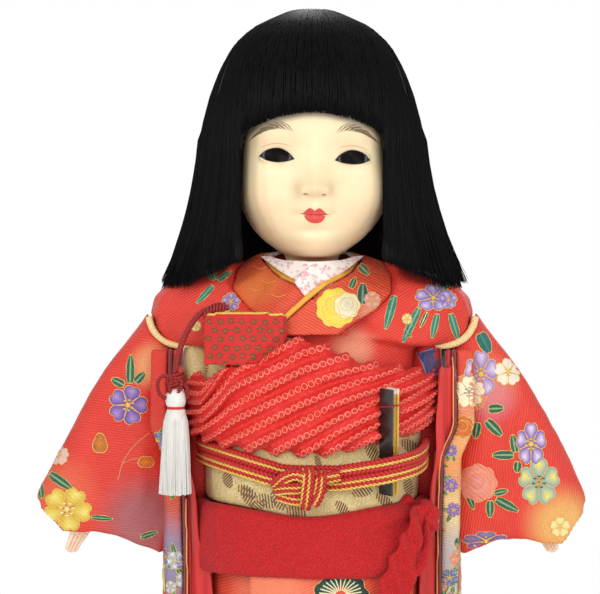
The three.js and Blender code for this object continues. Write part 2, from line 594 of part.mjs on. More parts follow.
// A small hand with its fingers together, at the end of the forearm.
function forearm() {
  const top = -UPPER_ARM_LENGTH - SEAT_GAP;
  const wrist = top - FOREARM_LENGTH;
  const shaft = new THREE.CylinderGeometry(ARM_RADIUS * 0.88, WRIST_RADIUS, FOREARM_LENGTH, 12)
    .rotateX(Math.PI / 2).translate(0, 0, (top + wrist) / 2);
  const palm = new THREE.SphereGeometry(1, 10, 7).scale(3.6, 5.2, 8).translate(0, 0, wrist - 4);
  const fingers = [-1.5, -0.5, 0.5, 1.5].map((place) => new THREE.CapsuleGeometry(
    FINGER_RADIUS, FINGER_LENGTH - Math.abs(place) * 1.6, 2, 6)
    .rotateX(Math.PI / 2).translate(0, place * FINGER_RADIUS * 1.85, wrist - 9 - FINGER_LENGTH / 2));
  const thumb = new THREE.CapsuleGeometry(FINGER_RADIUS * 1.1, FINGER_LENGTH * 0.6, 2, 6)
    .rotateX(Math.PI / 2 - 0.35).translate(-1, -4, wrist - 8);
  return join(shaft, palm, ...fingers, thumb);
}

// Sleeves: a flat lined bag that hangs from the arm, open at the cuff

const sleeveOuter = stations([0, SHOULDER_RADIUS * 0.95], [0.5, SLEEVE_OUTER], [1, SLEEVE_OUTER + 0.5]);
const sleeveInner = stations([0, -SHOULDER_RADIUS * 0.42], [0.22, -SHOULDER_RADIUS * 0.5],
  [0.55, -SLEEVE_INNER * 0.5], [1, -SLEEVE_INNER]);
const sleeveThick = stations([0, SLEEVE_ROOT_THICKNESS], [0.4, SLEEVE_ROOT_THICKNESS * 0.86],
  [1, SLEEVE_CUFF_THICKNESS]);
const SLEEVE_FOLD = 1.3;

function sleeveForm(grow) {
  const root = SHOULDER_RADIUS;
  const sides = 16;
  return skin(steps(8, 0, 1).map((t) => turn(sides).map((angle) => {
    const c = Math.cos(angle);
    const s = Math.sin(angle);
    const across = mix(sleeveInner(t) - grow, sleeveOuter(t) + grow, (1 + Math.sign(c) * Math.abs(c) ** 0.72) / 2);
    const thick = (sleeveThick(t) / 2 + grow) * Math.sign(s) * Math.abs(s) ** 0.8;
    const start = Math.sqrt(Math.max(0, root ** 2 - Math.min(across, root) ** 2));
    const cuff = CUFF_REACH * ramp(t) ** 4 * bell(across - 5, 13);
    const fold = SLEEVE_FOLD * Math.sin(across * 0.24 + t * 2) * ramp(t);
    return vec(across, thick + fold, -mix(start, SLEEVE_LENGTH + cuff + grow, t));
  })));
}

// The round of the shoulder, which the sleeve turns about.
const shoulderCap = () => new THREE.CylinderGeometry(SHOULDER_RADIUS + RUN_GAP, SHOULDER_RADIUS + RUN_GAP, 90, 40);

function sleeve() {
  const hole = ARM_RADIUS + SEAT_GAP;
  const bore = rod(hole, -UPPER_ARM_LENGTH - FOREARM_LENGTH, 0);
  const reach = SLEEVE_LENGTH + CUFF_REACH;
  const mouth = skin([outline(-reach - 5, 13, 6.4, 6.4, 2.4, 14), outline(-reach + CUFF_RECESS, 8, 7, 7, 2, 14)]);
  return cut(sleeveForm(0), bore, mouth, shoulderCap());
}

// The long end of the sleeve, which hangs at the doll's side with its lining showing along the open edge.
// Each layer is a panel that keeps outside the sashes, wavy along its front edge.
const dropSway = stations([DROP_BOTTOM_Z, -2], [HIP_Z, 0], [CORD_SIDE_Z - 4, 0.4], [CORD_SIDE_Z + 9, 5.6],
  [OBI_TOP, 5]);
const dropInside = WAIST_HALF_WIDTH + OBI_OUTSIDE + CORD_THICKNESS + 3 * SEAT_GAP + DROP_CLEARANCE;

function dropLayer(inner, outer, front, low) {
  const top = SHOULDER_Z - SHOULDER_RADIUS - RUN_GAP * 2;
  const levels = [low, ...steps(4, DROP_BOTTOM_Z + 30, CORD_SIDE_Z - 4), CORD_SIDE_Z + 3, CORD_SIDE_Z + 9, top];
  const panel = skin(levels.map((z) => {
    const up = (z - DROP_BOTTOM_Z) / (top - DROP_BOTTOM_Z);
    const near = front + 1.4 * Math.sin(up * 9) - DROP_HALF_DEPTH * 0.2 * ramp(Math.max(0, up));
    const far = DROP_HALF_DEPTH * (1 - 0.2 * ramp(Math.max(0, up)));
    const x = dropInside + dropSway(z);
    return [vec(x + inner, -near, z), vec(x + outer, -near, z), vec(x + outer, far, z), vec(x + inner, far, z)];
  }));
  const arm = rod(ARM_RADIUS + RUN_GAP, -UPPER_ARM_LENGTH, 0);
  return cut(panel, placeArm(arm, 1), placeArm(sleeveForm(SEAT_GAP), 1), placeArm(shoulderCap(), 1));
}

const trimInside = SLEEVE_LINING_THICKNESS + SEAT_GAP;
const dropBag = trimInside + TRIM_THICKNESS + SEAT_GAP;
const lining = () => dropLayer(0, SLEEVE_LINING_THICKNESS, DROP_HALF_DEPTH - 2, DROP_BOTTOM_Z + 8);
const trim = () => dropLayer(trimInside, trimInside + TRIM_THICKNESS, DROP_HALF_DEPTH + 1.5, DROP_BOTTOM_Z + 4);
const drop = () => dropLayer(dropBag, dropBag + DROP_THICKNESS, DROP_HALF_DEPTH, DROP_BOTTOM_Z);

// Skirt of the kimono, with the layers under it

const SKIRT_LEVELS = steps(3, HEM_Z + HEM_ROLL_HEIGHT, SKIRT_TOP);
const skirtShell = (inside, outside, low, high) => band(wholeTurn, () => flatSection(inside, outside, low, high), true);

// A layer of cloth from the waist down, between two offsets from the trunk.
const skirtLayer = (inside, outside, hem) => band(wholeTurn, () => {
  const levels = [hem, ...SKIRT_LEVELS.slice(hem < SKIRT_LEVELS[0] ? 0 : 1)];
  return [...levels.map((z) => [outside, z]), ...levels.reverse().map((z) => [inside, z])];
}, true);

const kimonoSkirt = () => skirtLayer(-CLOTH, 0, SKIRT_LEVELS[0]);

const hemRoll = () => skirtShell(-CLOTH, 0.8, HEM_Z, HEM_Z + HEM_ROLL_HEIGHT - SEAT_GAP);

const UNDERSKIRT_OUTSIDE = -CLOTH - 2 * SEAT_GAP;
const underskirt = () => skirtLayer(UNDERSKIRT_OUTSIDE - 1.5, UNDERSKIRT_OUTSIDE, HEM_Z - UNDERSKIRT_DROP);

// Cotton wadding that fills the skirt round the legs and the hips.
function wadding() {
  const outside = UNDERSKIRT_OUTSIDE - 1.5 - 2 * SEAT_GAP;
  const levels = [SKIRT_LEVELS[0] + 4, ...SKIRT_LEVELS.slice(1)];
  const form = skin(levels.map((z) => wholeTurn.map((angle) => trunk(angle, z, outside))));
  const legs = [-1, 1].map((side) => rod(LEG_RADIUS + SEAT_GAP, 0, CROTCH_Z).translate(side * LEG_X, 0, 0));
  return cut(form, torsoForm(SEAT_GAP), ...legs);
}

// The front overlap: the left panel of the kimono laid over the right one.
const OVERLAP_FROM = -0.62;
const OVERLAP_TO = 1.75;
const overlapPanel = () => band(steps(14, OVERLAP_FROM, OVERLAP_TO), () => {
  const levels = [HEM_Z + 2, ...SKIRT_LEVELS.slice(1, 3), HIP_Z];
  const inside = 0.8 + 2 * SEAT_GAP;
  return [...levels.map((z) => [inside + 1.6, z]), ...levels.reverse().map((z) => [inside, z])];
}, false);

// Obi, its gathered silk sash, braided cord and bow

const obiTop = (angle) => OBI_TOP - 7 * Math.abs(Math.sin(angle)) ** 3; // cut lower under the arms
const obi = () => band(wholeTurn, (angle) => flatSection(OBI_INSIDE, OBI_OUTSIDE, OBI_BOTTOM, obiTop(angle)), true);

const OBIAGE_ANGLE = 1.72;
const downObi = (share) => OBI_TOP - OBI_HEIGHT * share;
const obiageTop = stations([-OBIAGE_ANGLE, downObi(0.19)], [-1, downObi(0.12)], [-0.62, OBI_TOP],
  [-0.1, downObi(0.015)], [0.55, downObi(0.15)], [OBIAGE_ANGLE, downObi(0.235)]);
const obiageBottom = stations([-OBIAGE_ANGLE, downObi(0.59)], [-0.6, downObi(0.68)], [0, downObi(0.7)],
  [0.7, downObi(0.62)], [OBIAGE_ANGLE, downObi(0.5)]);
const obiageProud = stations([-OBIAGE_ANGLE, 0.35], [-0.9, 0.9], [0, 1], [0.8, 0.8], [OBIAGE_ANGLE, 0.35]);

// Gathered in pleats that climb from the doll's right to its left.
function obiageForm() {
  const inside = OBI_OUTSIDE + 3 * SEAT_GAP;
  const sides = 14;
  return band(steps(20, -OBIAGE_ANGLE, OBIAGE_ANGLE), (angle) => {
    const low = obiageBottom(angle);
    const high = obiageTop(angle);
    const face = steps(sides, 0, 1).map((v) => {
      const crown = Math.sqrt(Math.max(0, 1 - (2 * v - 1) ** 4));
      const pleat = 1 - 0.16 * (1 - Math.cos(2 * Math.PI * (OBIAGE_RIBS * v - 1.1 * angle))) * crown;
      return [inside + 0.8 + OBIAGE_BULGE * obiageProud(angle) * crown * pleat, mix(low, high, v)];
    });
    return [...face, [inside, high - 0.4], [inside, low + 0.4]];
  }, false);
}

const obiage = () => cut(obiageForm(), pouchBlock(SEAT_GAP), fanBlock(RUN_GAP, FAN_LENGTH));

// Two braids side by side run round the obi and dip to the knot in front, passing over the fan.
const fanAngle = Math.atan2(FAN_X, WAIST_HALF_DEPTH + OBI_THICKNESS);
const cordHeight = (angle) => CORD_SIDE_Z - CORD_DROOP * bell(Math.min(Math.abs(angle), Math.PI), 0.8);
const cordLift = (angle) => (FAN_WIDTH + 2 * FAN_CLEARANCE + 3.4) * bell(angle - fanAngle, 0.36);

function obijimeBraid(row) {
  const inside = OBI_OUTSIDE + 3 * SEAT_GAP;
  const from = KNOT_HALF_WIDTH / (WAIST_HALF_DEPTH + OBI_OUTSIDE);
  return band(steps(32, from, 2 * Math.PI - from), (turned) => {
    const angle = turned > Math.PI ? turned - 2 * Math.PI : turned;
    const low = cordHeight(angle) + row * (CORD_HEIGHT + SEAT_GAP) - CORD_HEIGHT - SEAT_GAP / 2;
    return flatSection(inside + cordLift(angle), inside + cordLift(angle) + CORD_THICKNESS, low, low + CORD_HEIGHT);
  }, false);
}

// The knot: one end of the cord brought over, round and down through itself.
function obijimeKnot() {
  const centre = trunk(0, CORD_SIDE_Z - CORD_DROOP, OBI_OUTSIDE + SEAT_GAP + CORD_THICKNESS * 1.35);
  const w = KNOT_HALF_WIDTH - SEAT_GAP;
  const place = (x, y, z) => vec(centre.x + x * w, centre.y + y * CORD_THICKNESS, centre.z + z * CORD_HEIGHT);
  const body = new THREE.CatmullRomCurve3([place(-0.9, 0, -0.5), place(-0.5, -0.5, 0.6), place(0.05, -1, 1.1),
    place(0.5, -0.9, 0.1), place(0.3, -0.7, -1.5), place(-0.1, -0.5, -2.2)]);
  const wrapped = new THREE.CatmullRomCurve3([place(0.9, 0, 0.3), place(0.35, -0.2, 0.2), place(-0.3, -0.4, -0.5),
    place(-0.8, -0.1, -1.1)]);
  return join(tube(body, CORD_HEIGHT * 0.55, CORD_THICKNESS * 0.6, 10, 6),
    tube(wrapped, CORD_HEIGHT * 0.6, CORD_THICKNESS * 0.6, 6, 6));
}

// The bow at the back: two loops, the wrap that gathers them, and a hanging end.
const bowBack = () => trunk(Math.PI, OBI_BOTTOM, OBI_OUTSIDE + 4 * SEAT_GAP).y;
const BOW_WRAP_HALF_WIDTH = 10;

function bowLoop() {
  const from = BOW_WRAP_HALF_WIDTH + SEAT_GAP;
  const y = bowBack() + BOW_DEPTH / 2 + RUN_GAP;
  return skin(steps(6, 0, 1).map((t) => {
    const x = mix(from, BOW_HALF_WIDTH, t);
    const half = mix(BOW_HEIGHT * 0.3, BOW_HEIGHT * 0.5, ramp(t));
    const depth = BOW_DEPTH * mix(0.36, 0.5, Math.sin(Math.PI * Math.min(1, t * 1.25) * 0.5)) * (t === 1 ? 0.8 : 1);
    return turn(14).map((angle) => vec(x - 3 * t * Math.cos(angle) ** 2, y + depth * Math.cos(angle)
      * (1 + 0.12 * Math.cos(3 * angle)), BOW_Z + 10 * t + half * Math.sin(angle)));
  }));
}

const bowWrap = () => {
  const y = bowBack() + BOW_DEPTH / 2 + RUN_GAP;
  return skin(steps(4, -1, 1).map((s) => outline(BOW_Z + s * BOW_HEIGHT * 0.33, BOW_WRAP_HALF_WIDTH,
    BOW_DEPTH * 0.5 + RUN_GAP - SEAT_GAP, BOW_DEPTH * 0.62 - 1.2 * s * s, 3, 20, 0, y)));
};

function bowTail() {
  const top = BOW_Z - BOW_HEIGHT * 0.33 - SEAT_GAP;
  return skin(steps(7, 0, 1).map((t) => {
    const z = top - BOW_TAIL_LENGTH * t;
    const back = Math.max(trunk(Math.PI, z, OBI_OUTSIDE + 3 * SEAT_GAP + CORD_THICKNESS).y,
      trunk(Math.PI, WAIST_Z, OBI_OUTSIDE + 3 * SEAT_GAP + CORD_THICKNESS).y) + 1.5;
    const half = mix(BOW_WRAP_HALF_WIDTH, BOW_WRAP_HALF_WIDTH * 1.9, ramp(t));
    const wave = 1 + 0.25 * Math.sin(t * 5);
    return outline(z, half, 0.1, 4 * wave, 3, 18, 0, back);
  }));
}

// Shigoki: a crepe sash round the hips, knotted at the left with its ends hanging

const shigokiInside = 0.8 + 3 * SEAT_GAP + 1.6;
const shigokiAngle = 1.02;

const shigokiBand = () => band(wholeTurn, (angle) => {
  const out = shigokiInside + SHIGOKI_THICKNESS;
  const levels = steps(4, HIP_Z, WAIST_Z - SEAT_GAP);
  const crease = (z) => 0.5 * Math.sin(z * 0.9 + 2 * angle) - 0.8 * ((2 * (z - HIP_Z)) / (WAIST_Z - HIP_Z) - 1) ** 4;
  return [...levels.map((z) => [out + crease(z), z]), [shigokiInside, WAIST_Z - SEAT_GAP], [shigokiInside, HIP_Z]];
}, true);

const knotSeat = () => trunk(shigokiAngle, WAIST_Z - 6, shigokiInside + SHIGOKI_THICKNESS + 4.5);

const shigokiKnot = () => {
  const seat = knotSeat();
  return skin(steps(6, -1, 1).map((s) => outline(seat.z + 6.5 * s, 5 * Math.sqrt(1.08 - s * s), 4 * Math.sqrt(1.08 - s * s),
    4 * Math.sqrt(1.08 - s * s), 2.3, 14, seat.x, seat.y)));
};

// An end of the sash: a strip folded lengthwise that falls from the knot.
function shigokiTail(across, length, width, forward) {
  const seat = knotSeat();
  const top = seat.z - 7.1 - SEAT_GAP;
  return skin(steps(7, 0, 1).map((t) => {
    const z = top - length * t;
    const half = mix(width * 0.24, width * 0.5, ramp(Math.min(1, t * 1.6)));
    const fold = 0.9 * Math.sin(t * 6 + across);
    const centre = vec(seat.x + across * ramp(t), seat.y + forward * ramp(Math.min(1, t * 2)) - 1.5, z);
    return turn(12).map((angle) => vec(centre.x + half * Math.cos(angle), centre.y + fold + Math.sin(angle)
      * (2.6 - 1.1 * Math.cos(2 * angle + t * 3)), z));
  }));
}

// Pouch, its cord and tassel

const pouchAngle = -0.6;
const POUCH_YAW = -0.34;
const pouchSeat = trunk(pouchAngle, OBI_TOP, OBI_OUTSIDE + COLLAR_THICKNESS + 4.2).setZ(POUCH_Z);

function pouchBlock(grow) {
  const half = POUCH_WIDTH / 2 + grow;
  const rise = POUCH_HEIGHT / 2 + grow;
  const thick = POUCH_THICKNESS + 2 * grow;
  const path = new THREE.Shape();
  path.moveTo(-half, -rise);
  path.lineTo(half, -rise);
  path.lineTo(half, rise);
  path.quadraticCurveTo(0, rise + 1.2, -half, rise);
  path.lineTo(-half, -rise);
  return new THREE.ExtrudeGeometry(path, { depth: thick, bevelEnabled: false, curveSegments: 6 })
    .translate(0, 0, -thick / 2).rotateX(Math.PI / 2).rotateZ(POUCH_YAW)
    .translate(pouchSeat.x, pouchSeat.y, pouchSeat.z);
}

const pouch = () => pouchBlock(0);

// The cord lies on the pouch's upper edge, bends over its outer corner and hangs to the tassel's knot.
const pouchCorner = vec(-POUCH_WIDTH / 2, 0, POUCH_HEIGHT / 2).applyAxisAngle(vec(0, 0, 1), POUCH_YAW).add(pouchSeat);
const TASSEL_CORD_ROUTE = [[9, -3.2, 2.8], [5, -1.8, 2.6], [1.5, -0.8, 2.2], [-1.6, -0.6, 0.8], [-4.2, -1.6, -1.8],
  [-6.6, -2.8, -5.4], [-8.8, -3.6, -10], [-10.6, -4, -15.4], [-11.6, -4, -20], [-11.8, -4, -23]];
const cordPoints = TASSEL_CORD_ROUTE.map((p) => vec(...p).add(pouchCorner));
const tasselCord = () => tube(new THREE.CatmullRomCurve3(cordPoints), TASSEL_CORD_RADIUS, TASSEL_CORD_RADIUS, 14, 6);
const tasselTop = cordPoints.at(-1);

const KNOT_HEIGHT = 6;
const knotHalfWidth = stations([0, 1.1], [0.25, 3.6], [0.6, 3.4], [1, 2.2]);
const knotHalfDepth = stations([0, 1.1], [0.25, 2.4], [1, 2.4]);
const tasselKnot = () => skin([0, 0.25, 0.6, 1].map((s) => outline(tasselTop.z - SEAT_GAP - KNOT_HEIGHT * s,
  knotHalfWidth(s), knotHalfDepth(s), knotHalfDepth(s), 2, 12, tasselTop.x, tasselTop.y)));

function tassel() {
  const top = tasselTop.z - 2 * SEAT_GAP - KNOT_HEIGHT;
  const profile = [[0, 0], [3.4, -0.4], [4.2, -3], [4, -6.2], [3.2, -7.4], [4.4, -9.5], [TASSEL_RADIUS * 0.92, -20],
    [TASSEL_RADIUS, -TASSEL_LENGTH + 1], [TASSEL_RADIUS * 0.9, -TASSEL_LENGTH], [0, -TASSEL_LENGTH]];
  return new THREE.LatheGeometry(profile.map(([r, z]) => new THREE.Vector2(r, z)).reverse(), 16)
    .rotateX(Math.PI / 2).translate(tasselTop.x, tasselTop.y, top);
}

// Folding fan, closed: two lacquered guards with the folded leaf between them

const fanThickness = FAN_LEAF + 2 * FAN_GUARD + 2 * SEAT_GAP;
const FAN_YAW = -0.75; // its guard faces the doll's right, its folds look outwards

function placeFan(geometry) {
  const foot = trunk(fanAngle, FAN_BOTTOM_Z, OBI_OUTSIDE + 2 * SEAT_GAP + FAN_WIDTH / 2 + FAN_CLEARANCE);
  return geometry.rotateZ(FAN_YAW).rotateX(THREE.MathUtils.degToRad(FAN_LEAN)).translate(foot.x, foot.y, foot.z);
}

const fanBlock = (grow, travel) => placeFan(box(-FAN_WIDTH / 2 - grow, FAN_WIDTH / 2 + grow,
  -fanThickness / 2 - grow, fanThickness / 2 + grow, -grow, FAN_LENGTH + travel + grow));

const fanGuard = (side) => {
  const y = side * (FAN_LEAF / 2 + SEAT_GAP + FAN_GUARD / 2);
  return placeFan(box(-FAN_WIDTH / 2, FAN_WIDTH / 2, y - FAN_GUARD / 2, y + FAN_GUARD / 2, 0, FAN_LENGTH));
};

const fanLeaf = () => placeFan(box(-FAN_WIDTH / 2 + 0.4, FAN_WIDTH / 2 - 0.4, -FAN_LEAF / 2, FAN_LEAF / 2, 1, FAN_LENGTH - 0.6));

// Legs, socks and sandals

const thigh = (side) => rod(LEG_RADIUS, SHIN_TOP_Z + SEAT_GAP, CROTCH_Z - SEAT_GAP, 18).translate(side * LEG_X, 0, 0);

function shin(side) {
  const low = SOLE_HEIGHT + FOOT_HEIGHT + SEAT_GAP;
  const profile = [[0, low], [ANKLE_RADIUS, low], [ANKLE_RADIUS, low + 10], [LEG_RADIUS, (low + SHIN_TOP_Z) / 2],
    [LEG_RADIUS * 0.85, SHIN_TOP_Z], [0, SHIN_TOP_Z]];
  return new THREE.LatheGeometry(profile.map(([r, z]) => new THREE.Vector2(r, z)), 16)
    .rotateX(Math.PI / 2).translate(side * LEG_X, 0, 0);
}

const FOOT_Y = -6; // middle of the foot, forward of the ankle
const strapTop = SOLE_HEIGHT + FOOT_HEIGHT * 0.62;

// A foot in its split-toed sock.
function foot(side) {
  const levels = [[0, 0.9], [0.18, 1], [0.5, 0.96], [0.8, 0.72], [1, 0.5]];
  const form = skin(levels.map(([s, w]) => {
    const heel = FOOT_LENGTH * 0.36;
    const toe = mix(FOOT_LENGTH * 0.64, heel * 0.62, s ** 1.5);
    return outline(SOLE_HEIGHT + SEAT_GAP + FOOT_HEIGHT * s - (s === 1 ? SEAT_GAP : 0), (FOOT_WIDTH / 2) * w, toe,
      heel * mix(1, 0.66, s), 2.3, 14, side * LEG_X, 0);
  }));
  const split = box(-0.5, 0.5, -FOOT_LENGTH, -FOOT_LENGTH * 0.46, 0, FOOT_HEIGHT * 3).translate(side * (LEG_X - 3), 0, 0);
  return cut(form, split, ...straps(side, SEAT_GAP));
}

function sole(side) {
  const path = new THREE.Shape();
  path.absellipse(0, 0, SOLE_WIDTH / 2, SOLE_LENGTH / 2, 0, 2 * Math.PI);
  return new THREE.ExtrudeGeometry(path, { depth: SOLE_HEIGHT - 2, bevelEnabled: true, bevelThickness: 1, bevelSize: 0.8,
    bevelOffset: -0.8, bevelSegments: 1, curveSegments: 9 }).translate(side * LEG_X, FOOT_Y, 1);
}

// The two thongs of a sandal, from between the toes to either side of the heel.
function straps(side, grow) {
  const toe = vec(side * (LEG_X - 3), -FOOT_LENGTH * 0.44, SOLE_HEIGHT + SEAT_GAP + STRAP_RADIUS);
  return [-1, 1].map((way) => tube(new THREE.CatmullRomCurve3([
    toe,
    toe.clone().add(vec(way * 1.5, 3, 6)),
    vec(side * LEG_X + way * FOOT_WIDTH * 0.4, -FOOT_LENGTH * 0.16, strapTop + 1.5),
    vec(side * LEG_X + way * (SOLE_WIDTH / 2 - 2.2), FOOT_LENGTH * 0.08, SOLE_HEIGHT + SEAT_GAP + STRAP_RADIUS + grow),
  ]), STRAP_RADIUS + grow, STRAP_RADIUS + grow, 6, 6));
}

const strap = (side) => join(...straps(side, 0));

// Materials

const material = (color, roughness, metalness = 0) => new THREE.MeshStandardMaterial({ color, roughness, metalness });
const SKIN = material(0xf2ddb4, 0.5);
const GLASS = material(0x120b08, 0.08);
const HAIR = material(0x08080b, 0.4);
const WOOD = material(0xb58d5c, 0.8);
const COMPOSITION = material(0xcfae84, 0.9);
const COTTON = material(0xefe9dc, 0.95);
const KIMONO = material(0xd4301c, 0.7);
const LINING = material(0xd11a1a, 0.7);
const PLUM = material(0x4a1030, 0.7);
const GOLD_SILK = material(0xe0a72c, 0.6);
const PALE_SILK = material(0xf2dcd4, 0.7);
const BROCADE = material(0xbfa866, 0.45, 0.35);
const SHIBORI = material(0xd6201c, 0.75);
const BRAID = material(0xb21a1c, 0.6);
const CREPE = material(0xc4101a, 0.85);
const LACQUER = material(0x0c0a0a, 0.15);
const PAPER_GOLD = material(0xd9b84a, 0.45, 0.3);
const WHITE_SILK = material(0xf5f3ef, 0.5);
const SOCK = material(0xf6f3ea, 0.85);
const SANDAL = material(0xc9952f, 0.5, 0.2);

// Assembly

const doll = new THREE.Group();
const add = (name, geometry, finish) => {
  const mesh = new THREE.Mesh(geometry, finish);
  mesh.name = name;
  doll.add(mesh);
};
const SIDES = [['left', 1], ['right', -1]];
const sided = (geometry, side) => (side > 0 ? geometry : mirrored(geometry));

const wig = wholeWig();
add('head', head(), SKIN);
add('neck_peg', neckPeg(), WOOD);
add('wig', cut(wig, bangsBlock(SEAT_GAP)), HAIR);
add('bangs', overlap(wig, bangsBlock(0)), HAIR);
SIDES.forEach(([name, side]) => add(`eye_${name}`, eye(side), GLASS));

add('torso', torso(), COMPOSITION);
add('wadding', wadding(), COTTON);
SIDES.forEach(([name, side]) => {
  add(`thigh_${name}`, thigh(side), COTTON);
  add(`shin_${name}`, shin(side), SKIN);
  add(`foot_${name}`, foot(side), SOCK);
  add(`sandal_sole_${name}`, sole(side), SANDAL);
  add(`sandal_strap_${name}`, strap(side), LINING);
});

SIDES.forEach(([name, side]) => {
  add(`upper_arm_${name}`, placeArm(upperArm(), side), COTTON);
  add(`forearm_${name}`, sided(placeArm(forearm(), 1), side), SKIN);
  add(`sleeve_${name}`, sided(placeArm(sleeve(), 1), side), KIMONO);
  add(`sleeve_drop_${name}`, sided(drop(), side), KIMONO);
  add(`sleeve_trim_${name}`, sided(trim(), side), PLUM);
  add(`sleeve_lining_${name}`, sided(lining(), side), LINING);
});

add('bodice', bodice(), KIMONO);
add('kimono_collar', kimonoCollar(), KIMONO);
add('accent_collar', accentCollar(), GOLD_SILK);
add('inner_collar', innerCollar(), PALE_SILK);
add('kimono_skirt', kimonoSkirt(), KIMONO);
add('hem_roll', hemRoll(), LINING);
add('front_overlap', overlapPanel(), KIMONO);
add('underskirt', underskirt(), PALE_SILK);

add('obi', obi(), BROCADE);
add('obiage', obiage(), SHIBORI);
add('obijime_upper', obijimeBraid(1), BRAID);
add('obijime_lower', obijimeBraid(0), BRAID);
add('obijime_knot', obijimeKnot(), BRAID);
SIDES.forEach(([name, side]) => add(`bow_loop_${name}`, sided(bowLoop(), side), BROCADE));
add('bow_wrap', bowWrap(), BROCADE);
add('bow_tail', bowTail(), BROCADE);
add('shigoki_band', shigokiBand(), CREPE);
add('shigoki_knot', shigokiKnot(), CREPE);
add('shigoki_tail_long', shigokiTail(-12, SHIGOKI_TAIL_LENGTH, SHIGOKI_TAIL_WIDTH, -9), CREPE);

add('pouch', pouch(), SHIBORI);
add('tassel_cord', tasselCord(), BRAID);
add('tassel_knot', tasselKnot(), BRAID);
add('tassel', tassel(), WHITE_SILK);
[['outer', -1], ['inner', 1]].forEach(([name, side]) => add(`fan_guard_${name}`, fanGuard(side), LACQUER));
add('fan_leaf', fanLeaf(), PAPER_GOLD);

// The frame's origin is under the middle of the doll, on the floor it stands on.
const extent = new THREE.Box3().setFromObject(doll);
const middle = extent.getCenter(new THREE.Vector3());
doll.position.set(-middle.x, -middle.y, -extent.min.z);

export default doll;
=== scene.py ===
# %% [markdown]
# # An ichimatsu doll in a crepe kimono
# The frame is the doll's solids: head, trunk, arms, feet and every layer of clothing, already in place and
# able to move. This lesson dresses that frame. A doll like this could be sculpted as one mesh, but it is made
# of many stuffs (shell-white paint, hair, crepe, brocade, silk cord, lacquer), so each stuff gets its own
# piece and its own finish. All lengths below are in millimetres and are turned into metres by `MM`.

# %% Load the frame
import math

import bmesh
import bpy
import numpy as np
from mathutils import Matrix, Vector, noise
from mathutils.bvhtree import BVHTree


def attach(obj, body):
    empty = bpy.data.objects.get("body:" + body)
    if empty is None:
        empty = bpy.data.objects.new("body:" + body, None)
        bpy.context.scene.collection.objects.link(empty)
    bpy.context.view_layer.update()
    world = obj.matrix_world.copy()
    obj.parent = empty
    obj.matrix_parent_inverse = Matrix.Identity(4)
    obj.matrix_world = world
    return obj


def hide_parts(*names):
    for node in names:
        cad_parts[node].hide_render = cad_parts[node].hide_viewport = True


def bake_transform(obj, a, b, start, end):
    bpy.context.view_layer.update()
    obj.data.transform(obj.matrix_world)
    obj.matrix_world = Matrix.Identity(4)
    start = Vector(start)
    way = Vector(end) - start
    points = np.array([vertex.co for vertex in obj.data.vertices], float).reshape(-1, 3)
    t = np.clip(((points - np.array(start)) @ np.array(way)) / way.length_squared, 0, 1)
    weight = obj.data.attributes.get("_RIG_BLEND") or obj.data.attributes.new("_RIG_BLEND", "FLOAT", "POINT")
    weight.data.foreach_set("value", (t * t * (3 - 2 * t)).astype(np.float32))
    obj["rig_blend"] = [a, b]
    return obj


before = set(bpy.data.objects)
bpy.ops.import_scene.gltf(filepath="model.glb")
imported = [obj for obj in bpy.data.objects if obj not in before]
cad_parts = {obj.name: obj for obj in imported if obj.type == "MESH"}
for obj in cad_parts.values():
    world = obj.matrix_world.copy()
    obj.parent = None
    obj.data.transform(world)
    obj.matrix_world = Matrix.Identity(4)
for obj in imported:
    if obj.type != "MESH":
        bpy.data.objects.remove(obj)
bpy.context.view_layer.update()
MM = 0.001
MERGE = 1e-6  # metres between two corners that are one
MIDDLE_Y = -5.8  # depth of the upright middle line of the dress
SIDES = (("left", 1), ("right", -1))
scene = bpy.context.scene
chance = np.random.default_rng(7)

# %% [markdown]
# ## Camera and light
# The photograph is taken level with the breast, from close by, so the doll fills the picture and its feet are
# cut off. A 100 mm lens at 0.7 m gives the same perspective. The light is a plain white studio: a large soft
# lamp in front on each side, one behind, and a pale world. By Light Path the white ground is only seen, also
# in a gloss or through glass, and doesn't light the doll.

# %% Camera, lamps and world
VIEWPOINT = (-5, -705.8, 304.5)
camera = bpy.data.objects.new("camera", bpy.data.cameras.new("camera"))
camera.data.lens = 100
camera.location = Vector(VIEWPOINT) * MM
camera.rotation_euler = (math.pi / 2, 0, 0)
scene.collection.objects.link(camera)
scene.camera = camera
scene.view_settings.view_transform = "Standard"


def lamp(name, place, aim, size, power):
    data = bpy.data.lights.new(name, "AREA")
    data.size, data.energy = size, power
    lit = bpy.data.objects.new(name, data)
    lit.location = place
    lit.rotation_euler = (Vector(aim) - Vector(place)).to_track_quat("-Z", "Y").to_euler()
    scene.collection.objects.link(lit)


lamp("key", (-0.32, -0.95, 0.62), (0, 0, 0.3), 0.6, 4.8)
lamp("fill", (0.5, -0.9, 0.42), (0, 0, 0.28), 0.7, 3.0)
lamp("rim", (0.2, 0.9, 0.9), (0, 0, 0.3), 0.7, 5)

world = bpy.data.worlds.new("studio")
scene.world = world
world.use_nodes = True
nodes, links = world.node_tree.nodes, world.node_tree.links
path = nodes.new("ShaderNodeLightPath")
seen = path.outputs["Is Camera Ray"]
for ray in ("Is Glossy Ray", "Is Transmission Ray"):
    either = nodes.new("ShaderNodeMath")
    either.operation = "MAXIMUM"
    links.new(seen, either.inputs[0])
    links.new(path.outputs[ray], either.inputs[1])
    seen = either.outputs[0]
white = nodes.new("ShaderNodeMapRange")
white.inputs["To Min"].default_value = 0.52
white.inputs["To Max"].default_value = 1.0
links.new(seen, white.inputs["Value"])
links.new(white.outputs[0], nodes["Background"].inputs["Strength"])
nodes["Background"].inputs["Color"].default_value = (1, 1, 1, 1)

